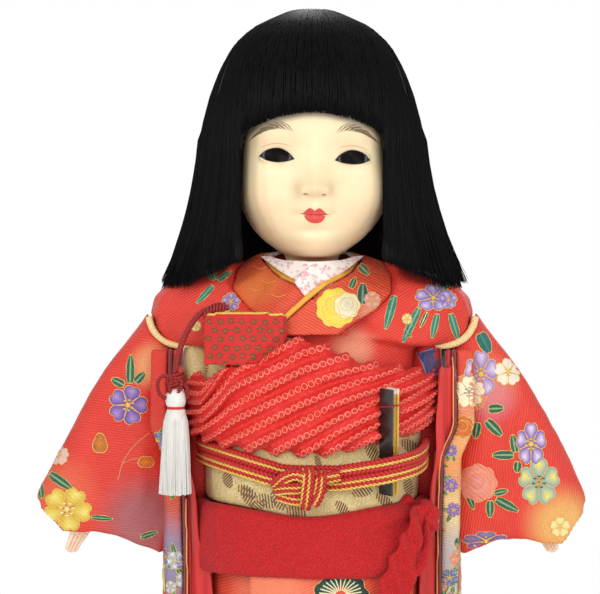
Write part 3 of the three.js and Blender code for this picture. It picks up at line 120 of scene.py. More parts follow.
# %% [markdown]
# ## Helpers for finishes
# Each finish is a node tree. Wiring sockets by hand takes many lines, so a small class adds one node per
# method and returns its output. Patterns read Object coordinates, which are metres here, so `size` is given
# in millimetres and turned into the scale of the texture.

# %% A finish is built node by node
class Finish:
    def __init__(self, name, **values):
        self.material = bpy.data.materials.new(name)
        self.material.use_nodes = True
        self.tree = self.material.node_tree
        self.shader = self.tree.nodes["Principled BSDF"]
        for key, value in values.items():
            self.shader.inputs[key.replace("_", " ")].default_value = value
        self.place = self.add("ShaderNodeTexCoord").outputs["Object"]

    def add(self, kind, inputs=(), **settings):
        node = self.tree.nodes.new(kind)
        for key, value in settings.items():
            setattr(node, key, value)
        for key, value in dict(inputs).items():
            if isinstance(value, bpy.types.NodeSocket):
                self.tree.links.new(value, node.inputs[key])
            else:
                node.inputs[key].default_value = value
        return node

    def mapped(self, scale=(1, 1, 1), turn=(0, 0, 0), shift=(0, 0, 0), source=None):
        return self.add("ShaderNodeMapping", {"Vector": source or self.place, "Scale": scale, "Rotation": turn,
                                              "Location": shift}).outputs[0]

    def noise(self, size, detail=2.0, source=None, rough=0.5, distort=0.0):
        return self.add("ShaderNodeTexNoise", {"Vector": source or self.place, "Scale": 1 / (size * MM),
                        "Detail": detail, "Roughness": rough, "Distortion": distort}).outputs["Fac"]

    def cells(self, size, source=None):
        return self.add("ShaderNodeTexVoronoi", {"Vector": source or self.place,
                                                 "Scale": 1 / (size * MM)}).outputs["Distance"]

    def wave(self, pitch, direction, distort=0.0, source=None, detail=1.0, detail_scale=1.0):
        return self.add("ShaderNodeTexWave", {
            "Vector": source or self.place, "Scale": math.pi / 10 / (pitch * MM), "Distortion": distort,
            "Detail": detail, "Detail Scale": detail_scale}, bands_direction=direction).outputs["Fac"]

    def math(self, operation, *values):
        return self.add("ShaderNodeMath", dict(enumerate(values)), operation=operation).outputs[0]

    def times(self, first, second):
        return self.math("MULTIPLY", first, second)

    def step(self, value, low, high, bottom=0.0, top=1.0):
        return self.add("ShaderNodeMapRange", {
            "Value": value, "From Min": low, "From Max": high, "To Min": bottom, "To Max": top},
            interpolation_type="SMOOTHSTEP").outputs[0]

    def mix(self, share, first, second, blend="MIX"):
        node = self.add("ShaderNodeMix", data_type="RGBA", blend_type=blend)
        for socket, value in zip((node.inputs[0], node.inputs[6], node.inputs[7]), (share, first, second)):
            if isinstance(value, bpy.types.NodeSocket):
                self.tree.links.new(value, socket)
            else:
                socket.default_value = value
        return node.outputs[2]

    def split(self, source=None):
        return self.add("ShaderNodeSeparateXYZ", {"Vector": source or self.place}).outputs

    def attribute(self, name, out="Color"):
        return self.add("ShaderNodeAttribute", attribute_name=name).outputs[out]

    def link(self, **values):
        for key, value in values.items():
            self.tree.links.new(value, self.shader.inputs[key.replace("_", " ")])
        return self

    def bump(self, height, depth):
        node = self.add("ShaderNodeBump", {"Height": height, "Distance": depth * MM, "Strength": 1.0})
        return self.link(Normal=node.outputs[0])


def rgb(red, green, blue):
    """An 8-bit screen colour as the linear colour that a socket takes."""
    return tuple(c / 12.92 if c <= 0.04045 else ((c + 0.055) / 1.055) ** 2.4
                 for c in (red / 255, green / 255, blue / 255)) + (1.0,)


def mottled(name, patches, dark, light, grain=None, **values):
    """A plain stuff of two close tones. Patches: a size and a detail. A grain in relief: also a depth."""
    stuff = Finish(name, **values)
    stuff.link(Base_Color=stuff.mix(stuff.noise(*patches), rgb(*dark), rgb(*light)))
    return stuff.bump(stuff.noise(*grain[:2]), grain[2]) if grain else stuff


print("finish helpers ready")

# %% Helpers for pieces
def piece_from(name, mesh, finish, body, smooth=True):
    """A mesh becomes a piece of the doll: linked, given its finish, and carried by a body, if one is named."""
    made = bpy.data.objects.new(name, mesh)
    scene.collection.objects.link(made)
    mesh.materials.append(finish.material)
    if smooth:
        mesh.polygons.foreach_set("use_smooth", np.ones(len(mesh.polygons), bool))
    if body:
        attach(made, body)
    return made


def mesh_of(bm, name):
    """A finished bmesh as a mesh."""
    mesh = bpy.data.meshes.new(name)
    bm.to_mesh(mesh)
    bm.free()
    return mesh


def settled(holder):
    """The mesh of an object with its modifiers applied. The object itself is removed."""
    scene.collection.objects.link(holder)
    mesh = bpy.data.meshes.new_from_object(holder.evaluated_get(bpy.context.evaluated_depsgraph_get()))
    bpy.data.objects.remove(holder)
    return mesh


def soft_skin(nodes, voxel, rounds):
    """Copies CAD solids, merges their loose triangles and grows one fine, softened skin over them."""
    bm = bmesh.new()
    for node in nodes:
        bm.from_mesh(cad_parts[node].data)
    bmesh.ops.remove_doubles(bm, verts=bm.verts, dist=MERGE)
    holder = bpy.data.objects.new("copy", mesh_of(bm, "copy"))
    skin = holder.modifiers.new("skin", "REMESH")
    skin.mode, skin.voxel_size, skin.use_smooth_shade = "VOXEL", voxel * MM, True
    soften = holder.modifiers.new("soften", "SMOOTH")
    soften.factor, soften.iterations = 0.5, rounds
    return settled(holder)


def per_vertex(mesh, what):
    """One row of three numbers per vertex: its "co" or its "normal"."""
    values = np.empty(len(mesh.vertices) * 3)
    mesh.vertices.foreach_get(what, values)
    return values.reshape(-1, 3)


def keep_numbers(mesh, **numbers):
    """Stores named numbers with the vertices, for a finish to read."""
    for name, values in numbers.items():
        mesh.attributes.new(name, "FLOAT", "POINT").data.foreach_set("value", values.astype(np.float32))


def shape_points(mesh, move):
    """Moves every vertex: move takes all places, in millimetres, and normals, and returns the new places."""
    moved = move(per_vertex(mesh, "co") / MM, per_vertex(mesh, "normal"))
    mesh.vertices.foreach_set("co", (moved * MM).ravel())
    mesh.update()
    return mesh


def cover(name, node, skin, finish, body, slot, *moves):
    """Grows a soft skin over a solid, moves its points and makes it the piece that replaces the solid."""
    mesh = soft_skin([node], *skin)
    for move in moves:
        shape_points(mesh, move)
    made = piece_from(name, mesh, finish, body)
    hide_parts(node)
    return made


def turn_from_front(places):
    """The angle of each point round the upright middle line of the dress, counted from the front."""
    return np.arctan2(places[:, 0], -(places[:, 1] - MIDDLE_Y))


def fine_noise(places, size, seed):
    """One value from -1 to 1 per point."""
    return np.array([noise.noise(Vector(p) / size + Vector((seed, 0, 0))) for p in places])


def smooth_line(points, count):
    """Points spaced evenly on a smooth curve through the given ones."""
    p = np.asarray(points, float)
    p = np.vstack([2 * p[0] - p[1], p, 2 * p[-1] - p[-2]])
    fine = []
    for a, b, c, d in zip(p, p[1:], p[2:], p[3:]):
        t = np.linspace(0, 1, 24, endpoint=False)[:, None]
        fine.append(0.5 * (2 * b + (c - a) * t + (2 * a - 5 * b + 4 * c - d) * t ** 2
                           + (3 * b - a - 3 * c + d) * t ** 3))
    fine = np.vstack([*fine, p[-2:-1]])
    run = np.r_[0, np.cumsum(np.linalg.norm(np.diff(fine, axis=0), axis=1))]
    even = np.linspace(0, run[-1], count)
    return np.column_stack([np.interp(even, run, fine[:, k]) for k in range(3)])


def line_length(line):
    return float(np.linalg.norm(np.diff(line, axis=0), axis=1).sum())


def frames(line):
    """Two directions square to a line at each of its points, carried along without twisting."""
    along = np.gradient(line, axis=0)
    along /= np.linalg.norm(along, axis=1)[:, None]
    side = np.cross(along[0], (0.3, 0.2, 0.93))
    out = []
    for a in along:
        side = side - a * np.dot(side, a)
        side /= np.linalg.norm(side)
        out.append(side)
    side = np.array(out)
    return side, np.cross(along, side)


def plies(line, radius, pitch, count):
    """The lines of the plies of a twisted cord laid round a line."""
    side, up = frames(line)
    run = np.r_[0, np.cumsum(np.linalg.norm(np.diff(line, axis=0), axis=1))] / pitch * 2 * math.pi
    return [line + radius * (np.cos(run + k)[:, None] * side + np.sin(run + k)[:, None] * up)
            for k in np.linspace(0, 2 * math.pi, count, endpoint=False)]


def round_lines(lines, radius, sides, taper=None, closed=False):
    """Gives lines, in millimetres, a round section and returns them as one mesh."""
    curve = bpy.data.curves.new("lines", "CURVE")
    curve.dimensions, curve.use_fill_caps = "3D", True
    curve.bevel_depth, curve.bevel_resolution = radius * MM, sides
    for line in lines:
        spline = curve.splines.new("POLY")
        spline.points.add(len(line) - 1)
        spline.points.foreach_set("co", np.c_[np.asarray(line) * MM, np.ones(len(line))].ravel())
        if taper is not None:
            spline.points.foreach_set("radius", np.asarray(taper(np.linspace(0, 1, len(line))), float))
        spline.use_cyclic_u = closed
    return settled(bpy.data.objects.new("lines", curve))


def joined(*meshes):
    """Several meshes as one."""
    bm = bmesh.new()
    for mesh in meshes:
        bm.from_mesh(mesh)
    return mesh_of(bm, "joined")


def circle(count):
    """Angles once round, without the last."""
    return np.linspace(0, 2 * math.pi, count, endpoint=False)


print("piece helpers ready")

# %% [markdown]
# ## The tassel's cord
# A dark red silk cord leaves the corner of the pouch, turns over its edge and hangs to a knot that carries a
# white tassel. A plain tube would look like wire. The real cord is laid up from thin plies, so three round
# lines are wound about the route, and the light catches each ply.

# %% The cord, its knot and its loops
POUCH_CORNER = np.array((-42.64, -39.04, 297.5))
CORD_ROUTE = POUCH_CORNER + np.array([(9, -3.2, 2.8), (5, -1.8, 2.6), (1.5, -0.8, 2.2), (-1.6, -0.6, 0.8),
                                      (-4.2, -1.6, -1.8), (-6.6, -2.8, -5.4), (-8.8, -3.6, -10),
                                      (-10.6, -4, -15.4), (-11.6, -4, -20), (-11.8, -4, -23)])
silk_cord = mottled("crimson silk cord", (0.5, 3), (96, 4, 8), (176, 16, 20), (0.16, 2, 0.08),
                    Roughness=0.5, Sheen_Weight=0.05)
route = smooth_line(CORD_ROUTE, 120)
cord_mesh = round_lines(plies(route, 0.62, 3.2, 3), 0.66, 2)
cord = piece_from("tassel_cord_silk", cord_mesh, silk_cord, "body")
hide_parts("tassel_cord")
angle = circle(20)
coil = np.column_stack([0.25 * np.sin(angle), 1.75 * np.cos(angle), 1.75 * np.sin(angle)])
coils = [POUCH_CORNER + (7.2 - k * 1.25, -2.5 + k * 0.3, 2.65 - 0.012 * k ** 3) + coil for k in range(7)]
binding = piece_from("tassel_cord_binding", round_lines(coils, 0.6, 1, closed=True), silk_cord, "body")
knot_top = CORD_ROUTE[-1] + (0, 0, -0.3)
angle = circle(24)
turns = [knot_top + np.column_stack([wide * np.cos(angle), 1.7 * np.sin(angle),
                                     -0.9 - 1.25 * k + 0.5 * np.cos(angle + 0.6)])
         for k, wide in enumerate((2.0, 2.9, 2.9, 2.2))]
KNOT_LOOPS = (  # a large loop, a small one and a free end, each with its number of points
    ([(-1, -1.2, -2.2), (-4.6, -1.6, -0.9), (-7, -1.4, -3.4), (-6.6, -1.2, -7.6), (-4.2, -1.2, -10),
      (-2.4, -1.6, -8.2), (-2.6, -1.8, -4.6)], 60),
    ([(1, -1.4, -1.8), (2.6, -2, -3.4), (1.4, -2.4, -7), (-1, -2.6, -8.6), (-2.2, -2.2, -5.6),
      (-1.2, -2, -2.8)], 50),
    ([(2, -1, -3.4), (4.4, -1.4, -5.4), (5, -1.2, -10)], 30))
loops = [smooth_line(knot_top + np.array(points), count) for points, count in KNOT_LOOPS]
knot = piece_from("tassel_knot_silk", joined(
    round_lines([ply for turn in turns for ply in plies(np.vstack([turn, turn[:1]]), 0.42, 2.4, 2)], 0.5, 1),
    round_lines([ply for loop in loops for ply in plies(loop, 0.4, 2.4, 2)], 0.48, 1)),
    silk_cord, "tassel")
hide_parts("tassel_knot")
print("cord", round(line_length(route), 1), "mm")

# %% [markdown]
# ## The white tassel
# A tassel is a hank of floss folded over a core, tied below the fold and cut level. Its head is a soft ball,
# and below the tie several hundred threads hang and spread a little. The threads are lines with a round
# section, and a plain skirt inside stops the light from passing through.

# %% Floss, head and tie
floss = Finish("white floss", Roughness=0.45, Sheen_Weight=0.5, Subsurface_Weight=0.1)
hanging = floss.noise(0.4, 2, floss.mapped((1, 1, 0.05)))
floss.link(Base_Color=floss.mix(hanging, rgb(214, 208, 198), rgb(252, 250, 244)))
floss.bump(floss.noise(0.25, 2, floss.mapped((1, 1, 0.04))), 0.15)
head_top = np.array((knot_top[0], knot_top[1], 267.9))
bm = bmesh.new()
profile = [(0.0, 0.0), (1.6, 0.0), (3.0, -0.7), (3.9, -2.4), (4.1, -4.6), (3.7, -6.4), (3.0, -7.4), (3.3, -8.2),
           (4.2, -10.4), (4.9, -16), (5.2, -26), (5.4, -40.5), (0.0, -40.5)]
ring = [bm.verts.new((r * MM, 0, z * MM)) for r, z in profile]
edges = [bm.edges.new(pair) for pair in zip(ring, ring[1:])]
bmesh.ops.spin(bm, geom=ring + edges, cent=(0, 0, 0), axis=(0, 0, 1), angle=2 * math.pi, steps=32,
               use_merge=True)
bmesh.ops.remove_doubles(bm, verts=bm.verts, dist=MERGE)
bmesh.ops.recalc_face_normals(bm, faces=bm.faces)
bmesh.ops.translate(bm, verts=bm.verts, vec=head_top * MM)
core = mesh_of(bm, "core")
threads = []
for k in range(300):
    angle, share = chance.uniform(0, 2 * math.pi), chance.uniform(0.86, 1.0)
    way = np.array((math.cos(angle), math.sin(angle), 0))
    reach = np.array([3.15, 4.35, 5.1, 5.6 + chance.normal(0, 0.25)]) * share
    drop = np.array([-7.6, -10.8, -22, -41.3 - chance.uniform(0, 0.6)])
    sway = np.array((chance.normal(0, 0.22), chance.normal(0, 0.22), 0))
    threads.append(smooth_line([head_top + way * r + (0, 0, z) + sway * s
                                for r, z, s in zip(reach, drop, (0, 0.3, 1, 2))], 7))
tassel = piece_from("tassel_floss", joined(core, round_lines(threads, 0.26, 0)), floss, "tassel")
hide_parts("tassel")
angle = circle(28)
ties = [head_top + np.column_stack([3.25 * np.cos(angle), 3.25 * np.sin(angle), np.full(28, z)])
        for z in (-7.2, -7.8)]
tie_thread = mottled("red tying thread", (0.3, 2), (190, 40, 30), (224, 74, 52), Roughness=0.6)
tie = piece_from("tassel_tie", round_lines(ties, 0.34, 1, closed=True), tie_thread, "tassel")
print("tassel of", len(threads), "threads")

# %% [markdown]
# ## The face
# The head is pressed paste under many coats of ground shell, polished to a matt ivory skin. The solid head
# has the right form in coarse facets. A fine skin is grown over a copy of it with a voxel remesh and
# softened, and the plump places are then pushed out a little, as a modeller adds coats of shell. Blush is not
# a picture: each vertex keeps a number that says how much rouge was rubbed in there, and the finish reads it.
# Two more numbers carry painted light: painted shade beside and under the nose, under the lips and at the
# corners of the mouth, and a grey band below the fringe, partly a painted hairline and partly painted shadow.

# %% A fine skin over the head
def bells(places, centre, size):
    """A soft spot of height 1: how strongly each point feels a push at centre."""
    return np.exp(-(((places - centre) / size) ** 2).sum(1))


FACE_SHIFT = 0.9  # the features sit a little to the doll's left
FACE_PUSHES = [  # centre, size and direction of each push: chin, lips, mouth line, nose and jaws
    ((0, -40, 326), (8, 10, 5), (0, -1.0, 0)), ((0, -40, 331), (6, 9, 1.5), (0, 0.7, 0)),
    ((0, -44, 339), (4.5, 8, 2.4), (0, -1.1, 0.2)), ((0, -44, 335.2), (4.2, 8, 1.8), (0, -1.2, 0)),
    ((0, -44, 337.6), (5.5, 8, 0.6), (0, 0.5, 0)), ((0, -46, 347.5), (3.2, 8, 3), (0, -0.7, 0)),
    ((28, -14, 345), (8, 18, 15), (1.6, -0.6, 0)), ((-28, -14, 343), (8, 18, 14), (-0.6, -0.6, 0))]
PAIRED_PUSHES = [  # the same for both sides: cheeks, corners of the mouth, wings of the nose, nostrils and lids
    ((25, -22, 352), (7, 16, 22), (0.3, -2.6, 0)), ((17, -34, 338), (10, 12, 11), (0.5, -1.2, 0)),
    ((6.6, -38, 337.6), (1.5, 8, 1.6), (0, 0.6, 0)), ((5, -42, 347), (1.8, 8, 2), (0.2, -0.9, 0)),
    ((3.5, -42, 344.6), (1.2, 8, 0.7), (0, 1.0, 0)), ((15.5, -35, 365.2), (7.5, 9, 2), (0, -0.5, 0)),
    ((15.5, -35, 355.6), (7, 9, 1.4), (0, -0.45, 0))]
for _, sign in SIDES:
    FACE_PUSHES += [(np.multiply(centre, (sign, 1, 1)), size, np.multiply(way, (sign, 1, 1)))
                    for centre, size, way in PAIRED_PUSHES]
ROUGE = [  # strength, centre and size: cheeks, upper lids, throat and tip of the nose
    (0.55, (18, -34, 341), (11, 40, 10)), (0.55, (-18, -34, 341), (11, 40, 10)),
    (0.7, (15.5, -35, 366.4), (10, 40, 3.4)), (0.7, (-15.5, -35, 366.4), (10, 40, 3.4)),
    (0.4, (0, -30, 320), (22, 40, 6)), (0.25, (0, -46, 346), (6, 40, 3))]
# Painted shade: a grey-tan tone beside and under the nose, under the lips and at the corners of the mouth,
# where these hollows fall in shade.
PAINTED_SHADE = [  # beside and under the nose, under the lips and at the corners of the mouth
    (0.8, (7.6, -40, 347), (2.2, 40, 3.6)), (0.8, (-6.2, -40, 347.4), (2.2, 40, 3.8)),
    (0.7, (0.9, -44, 344.4), (4.6, 40, 1.2)), (0.6, (0.9, -40, 331.8), (6, 40, 1.2)),
    (0.5, (8.2, -40, 338), (2, 40, 1.6)), (0.5, (-6.6, -40, 338.4), (2, 40, 1.6))]


def ease(value, low, high):
    share = np.clip((value - low) / (high - low), 0, 1)
    return share * share * (3 - 2 * share)


def add_coats(places, normals):
    moved = places.copy()
    for centre, size, way in FACE_PUSHES:
        moved += bells(places, centre, size)[:, None] * np.array(way)
    wide = np.abs(places[:, 0])
    broad = ease(wide, 9, 24) * (1 - ease(wide, 29.5, 33))
    broad *= ease(-places[:, 1], 6, 20) * ease(places[:, 2], 318, 332)
    moved[:, 1] -= 4.2 * broad  # a doll's face is broad and flat, and turns late at its sides
    moved[:, 0] += FACE_SHIFT * np.clip((-6 - places[:, 1]) / 22, 0, 1)
    return moved


head_mesh = shape_points(soft_skin(["head", "eye_left", "eye_right"], 0.75, 30), add_coats)
places = per_vertex(head_mesh, "co") / MM
front = places[:, 1] < -8
rouge, shade = [sum(strength * bells(places, centre, size) for strength, centre, size in spots)
                for spots in (ROUGE, PAINTED_SHADE)]
# A grey band just below the edge of the fringe: partly the doll's painted hairline, partly painted shadow of
# the fringe on the forehead.
hairline = np.clip((places[:, 2] - (374.9 - 7.7 * (places[:, 0] / 28) ** 2)) / 2.4, 0, 1) ** 1.3
keep_numbers(head_mesh, rouge=rouge * front, shade=shade * front, hairline=hairline * front)

shell_white = Finish("polished shell white", Roughness=0.42, Subsurface_Weight=0.3, Subsurface_Scale=0.005,
                     Coat_Weight=0.06, Coat_Roughness=0.3)
shell_white.shader.inputs["Subsurface Radius"].default_value = (1.0, 0.6, 0.35)
tone = shell_white.mix(shell_white.noise(9, 3), rgb(244, 222, 178), rgb(250, 231, 190))
# The skin's colour gets the painted shade, the rouge, and the grey band below the fringe, which is partly a
# painted hairline and partly painted shadow of the hair.
for paint, strength, colour in (("shade", 0.42, (196, 168, 122)), ("rouge", 0.6, (240, 186, 146)),
                                ("hairline", 0.75, (120, 104, 92))):
    tone = shell_white.mix(shell_white.times(shell_white.attribute(paint, "Fac"), strength), tone, rgb(*colour))
shell_white.link(Base_Color=tone)
shell_white.bump(shell_white.noise(0.6, 3), 0.012)
head = piece_from("head_skin", head_mesh, shell_white, "head")
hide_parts("head")
print("head", len(head_mesh.polygons), "faces")

# %% [markdown]
# ## Painted features
# Lips, brows and lid lines are painted with a fine brush on the finished skin. A painted mask in the finish
# would be only as sharp as the mesh. Thin shapes are laid on the skin instead: each is drawn flat and dropped
# on the face from the front by ray casting, so that its edge stays crisp at any size.

# %% Drop lines and flat shapes on a surface
def surface_of(*objects):
    bm = bmesh.new()
    for one in objects:
        bm.from_mesh(one.data)
    tree = BVHTree.FromBMesh(bm)
    bm.free()
    return tree


BACKWARDS = Vector((0, 1, 0))
FAR = BACKWARDS * 300  # well in front of the doll


def dropped(line, tree, lift):
    """A line, in millimetres, moved backwards until it lies on the surface. Points that miss are left out."""
    kept = []
    for p in line:
        hit, normal, _, _ = tree.ray_cast((Vector(p) - FAR) * MM, BACKWARDS)
        if hit:
            kept.append(np.array(hit) / MM + np.array(normal) * lift)
    return np.array(kept)


def flat_patch(outline, tree, lift, cuts=2, even=False):
    """An outline in x and z, filled, cut finely and dropped on the surface. An even one is drawn taut."""
    bm = bmesh.new()
    face = bm.faces.new([bm.verts.new((x, 0, z)) for x, z in outline])
    bmesh.ops.poke(bm, faces=[face])
    bmesh.ops.subdivide_edges(bm, edges=bm.edges, cuts=cuts, use_grid_fill=True)
    bmesh.ops.triangulate(bm, faces=bm.faces)
    missing = []
    for v in bm.verts:
        hit, normal, _, _ = tree.ray_cast((v.co - FAR) * MM, BACKWARDS)
        if hit:
            v.co = hit + normal * lift * MM
        else:
            missing.append(v)
    bmesh.ops.delete(bm, geom=missing, context="VERTS")
    if even:
        x, y, z = np.array([v.co for v in bm.verts]).T / MM
        terms = np.column_stack([np.ones(len(x)), x, z, x * x, x * z, z * z])
        fitted = terms @ np.linalg.lstsq(terms, y, rcond=None)[0]
        for v, depth in zip(bm.verts, fitted - np.max(fitted - y) * 0.8):
            v.co.y = depth * MM
    bmesh.ops.recalc_face_normals(bm, faces=bm.faces)
    return mesh_of(bm, "patch")


face_tree = surface_of(head)
print("face ready to paint")

# %% Lips
TILT = -0.03  # the features lean a little, as on most hand-painted faces


def mirrored_outline(half):
    whole = half + [(-x, z) for x, z in reversed(half) if x > 0.01]
    return [(x + FACE_SHIFT, z + TILT * x) for x, z in whole]


lip_red = mottled("lip rouge", (1.2, 3), (206, 52, 50), (234, 92, 80), Roughness=0.55)
upper = mirrored_outline([(0, 338.7), (0.9, 339.5), (1.9, 340.0), (3.0, 339.3), (4.3, 338.2), (5.0, 337.7),
                          (3.4, 337.5), (1.6, 337.3), (0, 337.4)])
lower = mirrored_outline([(0, 337.1), (1.8, 337.0), (3.5, 337.1), (4.3, 336.9), (3.6, 335.6), (2.5, 334.6),
                          (1.2, 334.1), (0, 334.0)])
lips = piece_from("lips", joined(*[flat_patch(lip, face_tree, 0.16) for lip in (upper, lower)]), lip_red,
                  "head")
dark_rouge = mottled("dark rouge", (0.6, 2), (118, 18, 20), (150, 34, 32), Roughness=0.5)
mouth = dropped([(x + FACE_SHIFT, 0, 337.25 + 0.5 * (abs(x) / 6) ** 2 + TILT * x)
                 for x in np.linspace(-5.9, 5.9, 30)], face_tree, -0.02)
piece_from("mouth_line", round_lines([mouth], 0.22, 1, lambda t: 0.25 + np.sin(np.pi * t) ** 0.7 * 0.9),
           dark_rouge, "head")
print("lips", len(lips.data.polygons), "faces")

# %% Brows, lid folds and nostrils
def on_face(line, sign, lift):
    """A line drawn for the doll's left side, mirrored if need be, tilted and dropped on the face."""
    line = np.array(line, float) * (sign, 1, 1)
    line[:, 2] += TILT * line[:, 0]
    line[:, 0] += FACE_SHIFT
    return dropped(line, face_tree, lift)


ink = mottled("soft brown ink", (0.4, 2), (96, 76, 56), (150, 126, 96), Roughness=0.55)
fold_ink = mottled("pale fold line", (1, 2), (206, 138, 108), (222, 160, 126), Roughness=0.5)
low_edge = smooth_line([(7.4, 0, 369.4), (11, 0, 370.6), (16, 0, 371.0), (21.5, 0, 369.6), (26, 0, 367.0)], 60)
high_edge = smooth_line([(8.6, 0, 371.8), (12.5, 0, 375.0), (17, 0, 374.9), (21.8, 0, 372.2), (26.6, 0, 367.4)],
                        60)
BROW_STROKES = 84
strokes = []
for k in range(BROW_STROKES):
    at = ((k + chance.uniform(0, 1)) / BROW_STROKES) ** 0.62 * 0.8
    first, last = low_edge[int(at * 59)], high_edge[min(59, int((at + chance.uniform(0.22, 0.42)) * 59))]
    bend = (first + last) / 2 + (-0.7 * (1 - at), 0, 0.75 * (1 - at))
    line = smooth_line([first + (0, 0, chance.uniform(0, 1.2) * (0.2 + at)), bend,
                        last - (0, 0, chance.uniform(0, 0.5))], 10)
    strokes += [on_face(line, sign, -0.03) for _, sign in SIDES]
piece_from("brows", round_lines(strokes, 0.125, 0, lambda t: np.sin(np.pi * np.clip(t, 0.03, 0.97)) ** 0.7),
           ink, "head")
fold = [(15.3 + 7.2 * s, 0, 365.6 - 1.9 * s * s - 0.2 * s) for s in np.linspace(-1, 1, 30)]
piece_from("lid_folds", round_lines([on_face(fold, sign, -0.06) for _, sign in SIDES], 0.16, 1,
                                    lambda t: np.sin(np.pi * np.clip(t, 0.04, 0.96)) ** 0.5),
           fold_ink, "head")
nostril = [(2.8 + 1.7 * s, 0, 345.0 + 0.4 * math.sin(math.pi * s)) for s in np.linspace(0, 1, 10)]
piece_from("nostrils", round_lines([on_face(nostril, sign, -0.06) for _, sign in SIDES], 0.32, 1,
                                   lambda t: 0.4 + 0.6 * np.sin(np.pi * t)), ink, "head")
print(len(strokes), "brow strokes")

# %% [markdown]
# ## Glass eyes
# The eyes are blown glass set in almond openings: nearly black brown, with a cold white only in the corners.
# The remesh closed the openings, so each eye is laid on the skin as a smooth almond patch, and its iris is
# drawn by the distance from its own centre in Object coordinates. Dark lash lines frame the opening, heavy
# above and fine below.

# %% Eyes and lash lines
EYE = np.array((15.2, 0, 360.8))
INNER_CORNER, OUTER_CORNER = (8.1, 0, 359.5), (22.0, 0, 360.2)
UPPER_LID = smooth_line([INNER_CORNER, (10.4, 0, 361.9), (13.4, 0, 363.5), (16.4, 0, 363.6), (19.6, 0, 362.3),
                         OUTER_CORNER], 24)
LOWER_LID = smooth_line([OUTER_CORNER, (19.2, 0, 358.9), (15.6, 0, 358.3), (11.6, 0, 358.6), INNER_CORNER], 24)


def glass_finish(side, sign):
    glass = Finish("eye glass " + side, Roughness=0.25, Specular_IOR_Level=0.06)
    offset = (EYE * (sign, 1, 1) + (FACE_SHIFT, 0, TILT * sign * EYE[0])) * MM
    x, _, z = glass.split(glass.mapped(shift=tuple(-offset)))
    radius = glass.math("SQRT", glass.math("ADD", glass.times(x, x), glass.times(z, z)))
    iris = glass.mix(glass.noise(0.7, 3), rgb(4, 2, 2), rgb(20, 8, 6))
    iris = glass.mix(glass.step(radius, 0.0012, 0.0018), rgb(4, 3, 3), iris)
    white = glass.mix(glass.noise(2, 2), rgb(52, 58, 64), rgb(104, 112, 118))
    corner = glass.step(glass.math("ABSOLUTE", x), 0.0052, 0.0064)
    tone = glass.mix(glass.step(radius, 0.0046, 0.0054), iris, white)
    glass.link(Base_Color=glass.mix(corner, tone, rgb(26, 18, 16)))
    return glass


lash_ink = mottled("lash ink", (0.5, 2), (14, 9, 8), (34, 22, 18), Roughness=0.4)
almond = np.vstack([UPPER_LID, LOWER_LID[1:-1]])
lashes = []
for side, sign in SIDES:
    outline = [(x * sign + FACE_SHIFT, z + TILT * x * sign) for x, _, z in almond[::sign]]
    eye = piece_from("glass_eye_" + side, flat_patch(outline, face_tree, 0.2, 3, True),
                     glass_finish(side, sign), "head")
    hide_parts("eye_" + side)
    for line, wide in ((on_face(UPPER_LID, sign, 0.3), 0.34), (on_face(LOWER_LID, sign, 0.25), 0.22)):
        lashes.append(round_lines([line], wide, 1, lambda t: 0.35 + 0.65 * np.sin(np.pi * t) ** 0.6))
piece_from("lash_lines", joined(*lashes), lash_ink, "head")
print("eyes set")

# %% [markdown]
# ## Hair
# The wig is straight black silk, combed down all round from the crown, with a fringe cut level above the
# brows. The export doesn't keep particle hair, and a smooth black shell alone looks like a cap. So there are
# two layers: a soft shell copied from the solid wig, and thousands of fine strands laid on it. Every strand
# starts at the crown, is dropped on the shell by rays and ends at its own length.

# %% Black silk and the shell under the strands
black_silk = Finish("black silk hair", Roughness=0.42, Specular_IOR_Level=0.08)
streak = black_silk.noise(0.9, 3, black_silk.mapped((1, 1, 0.03)))
black_silk.link(Base_Color=black_silk.mix(streak, rgb(2, 2, 3), rgb(9, 9, 12)))
black_silk.bump(black_silk.noise(0.35, 2, black_silk.mapped((1, 1, 0.02))), 0.12)


def draw_in(places, normals):
    return places - normals * 0.5


def rests_on_shoulders(made):
    """Long hair turns with the head down to the cheeks, while its ends drag on the shoulders."""
    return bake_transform(made, "head", "body", start=(0, 0, 0.340), end=(0, 0, 0.306))


hair_shell = piece_from("hair_shell", shape_points(soft_skin(["wig", "bangs"], 1.4, 26), draw_in), black_silk,
                        None)
rests_on_shoulders(hair_shell)
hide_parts("wig", "bangs")
wig_tree = surface_of(hair_shell)
print("shell", len(hair_shell.data.polygons), "faces")

# %% Strands combed from the crown
CROWN = np.array((0.0, 4.0, 388.0))
UP, FORWARD = np.array((0, 0, 1.0)), np.array((0, -1.0, 0))
HAIR_TIPS = 310.8
LOCK_INSIDE, LOCK_OUTSIDE = 28.4, 46  # the locks beside the cheeks, from the middle


def on_wig(origin, way):
    """The outermost point of the wig along a ray that comes in from outside."""
    hit, normal, _, _ = wig_tree.ray_cast(Vector(origin + way * 150) * MM, Vector(-way))
    return (np.array(hit) / MM, np.array(normal)) if hit else (None, None)


def fringe_edge(x):
    return 377.8 - 7.4 * (x / 28) ** 2


def over_crown(turn, lift):
    """The first part of a hair: from the crown to level with its middle, at an angle from the front."""
    out = np.array((math.sin(turn), -math.cos(turn), 0))
    line = []
    for bend in np.r_[0.03, (np.arange(1, 8) + turn * 97 % 1 - 0.5) / 8, 1]:
        hit, normal = on_wig(CROWN, out * math.sin(bend * math.pi / 2) + UP * math.cos(bend * math.pi / 2))
        line.append(hit + normal * lift)
    return line, out


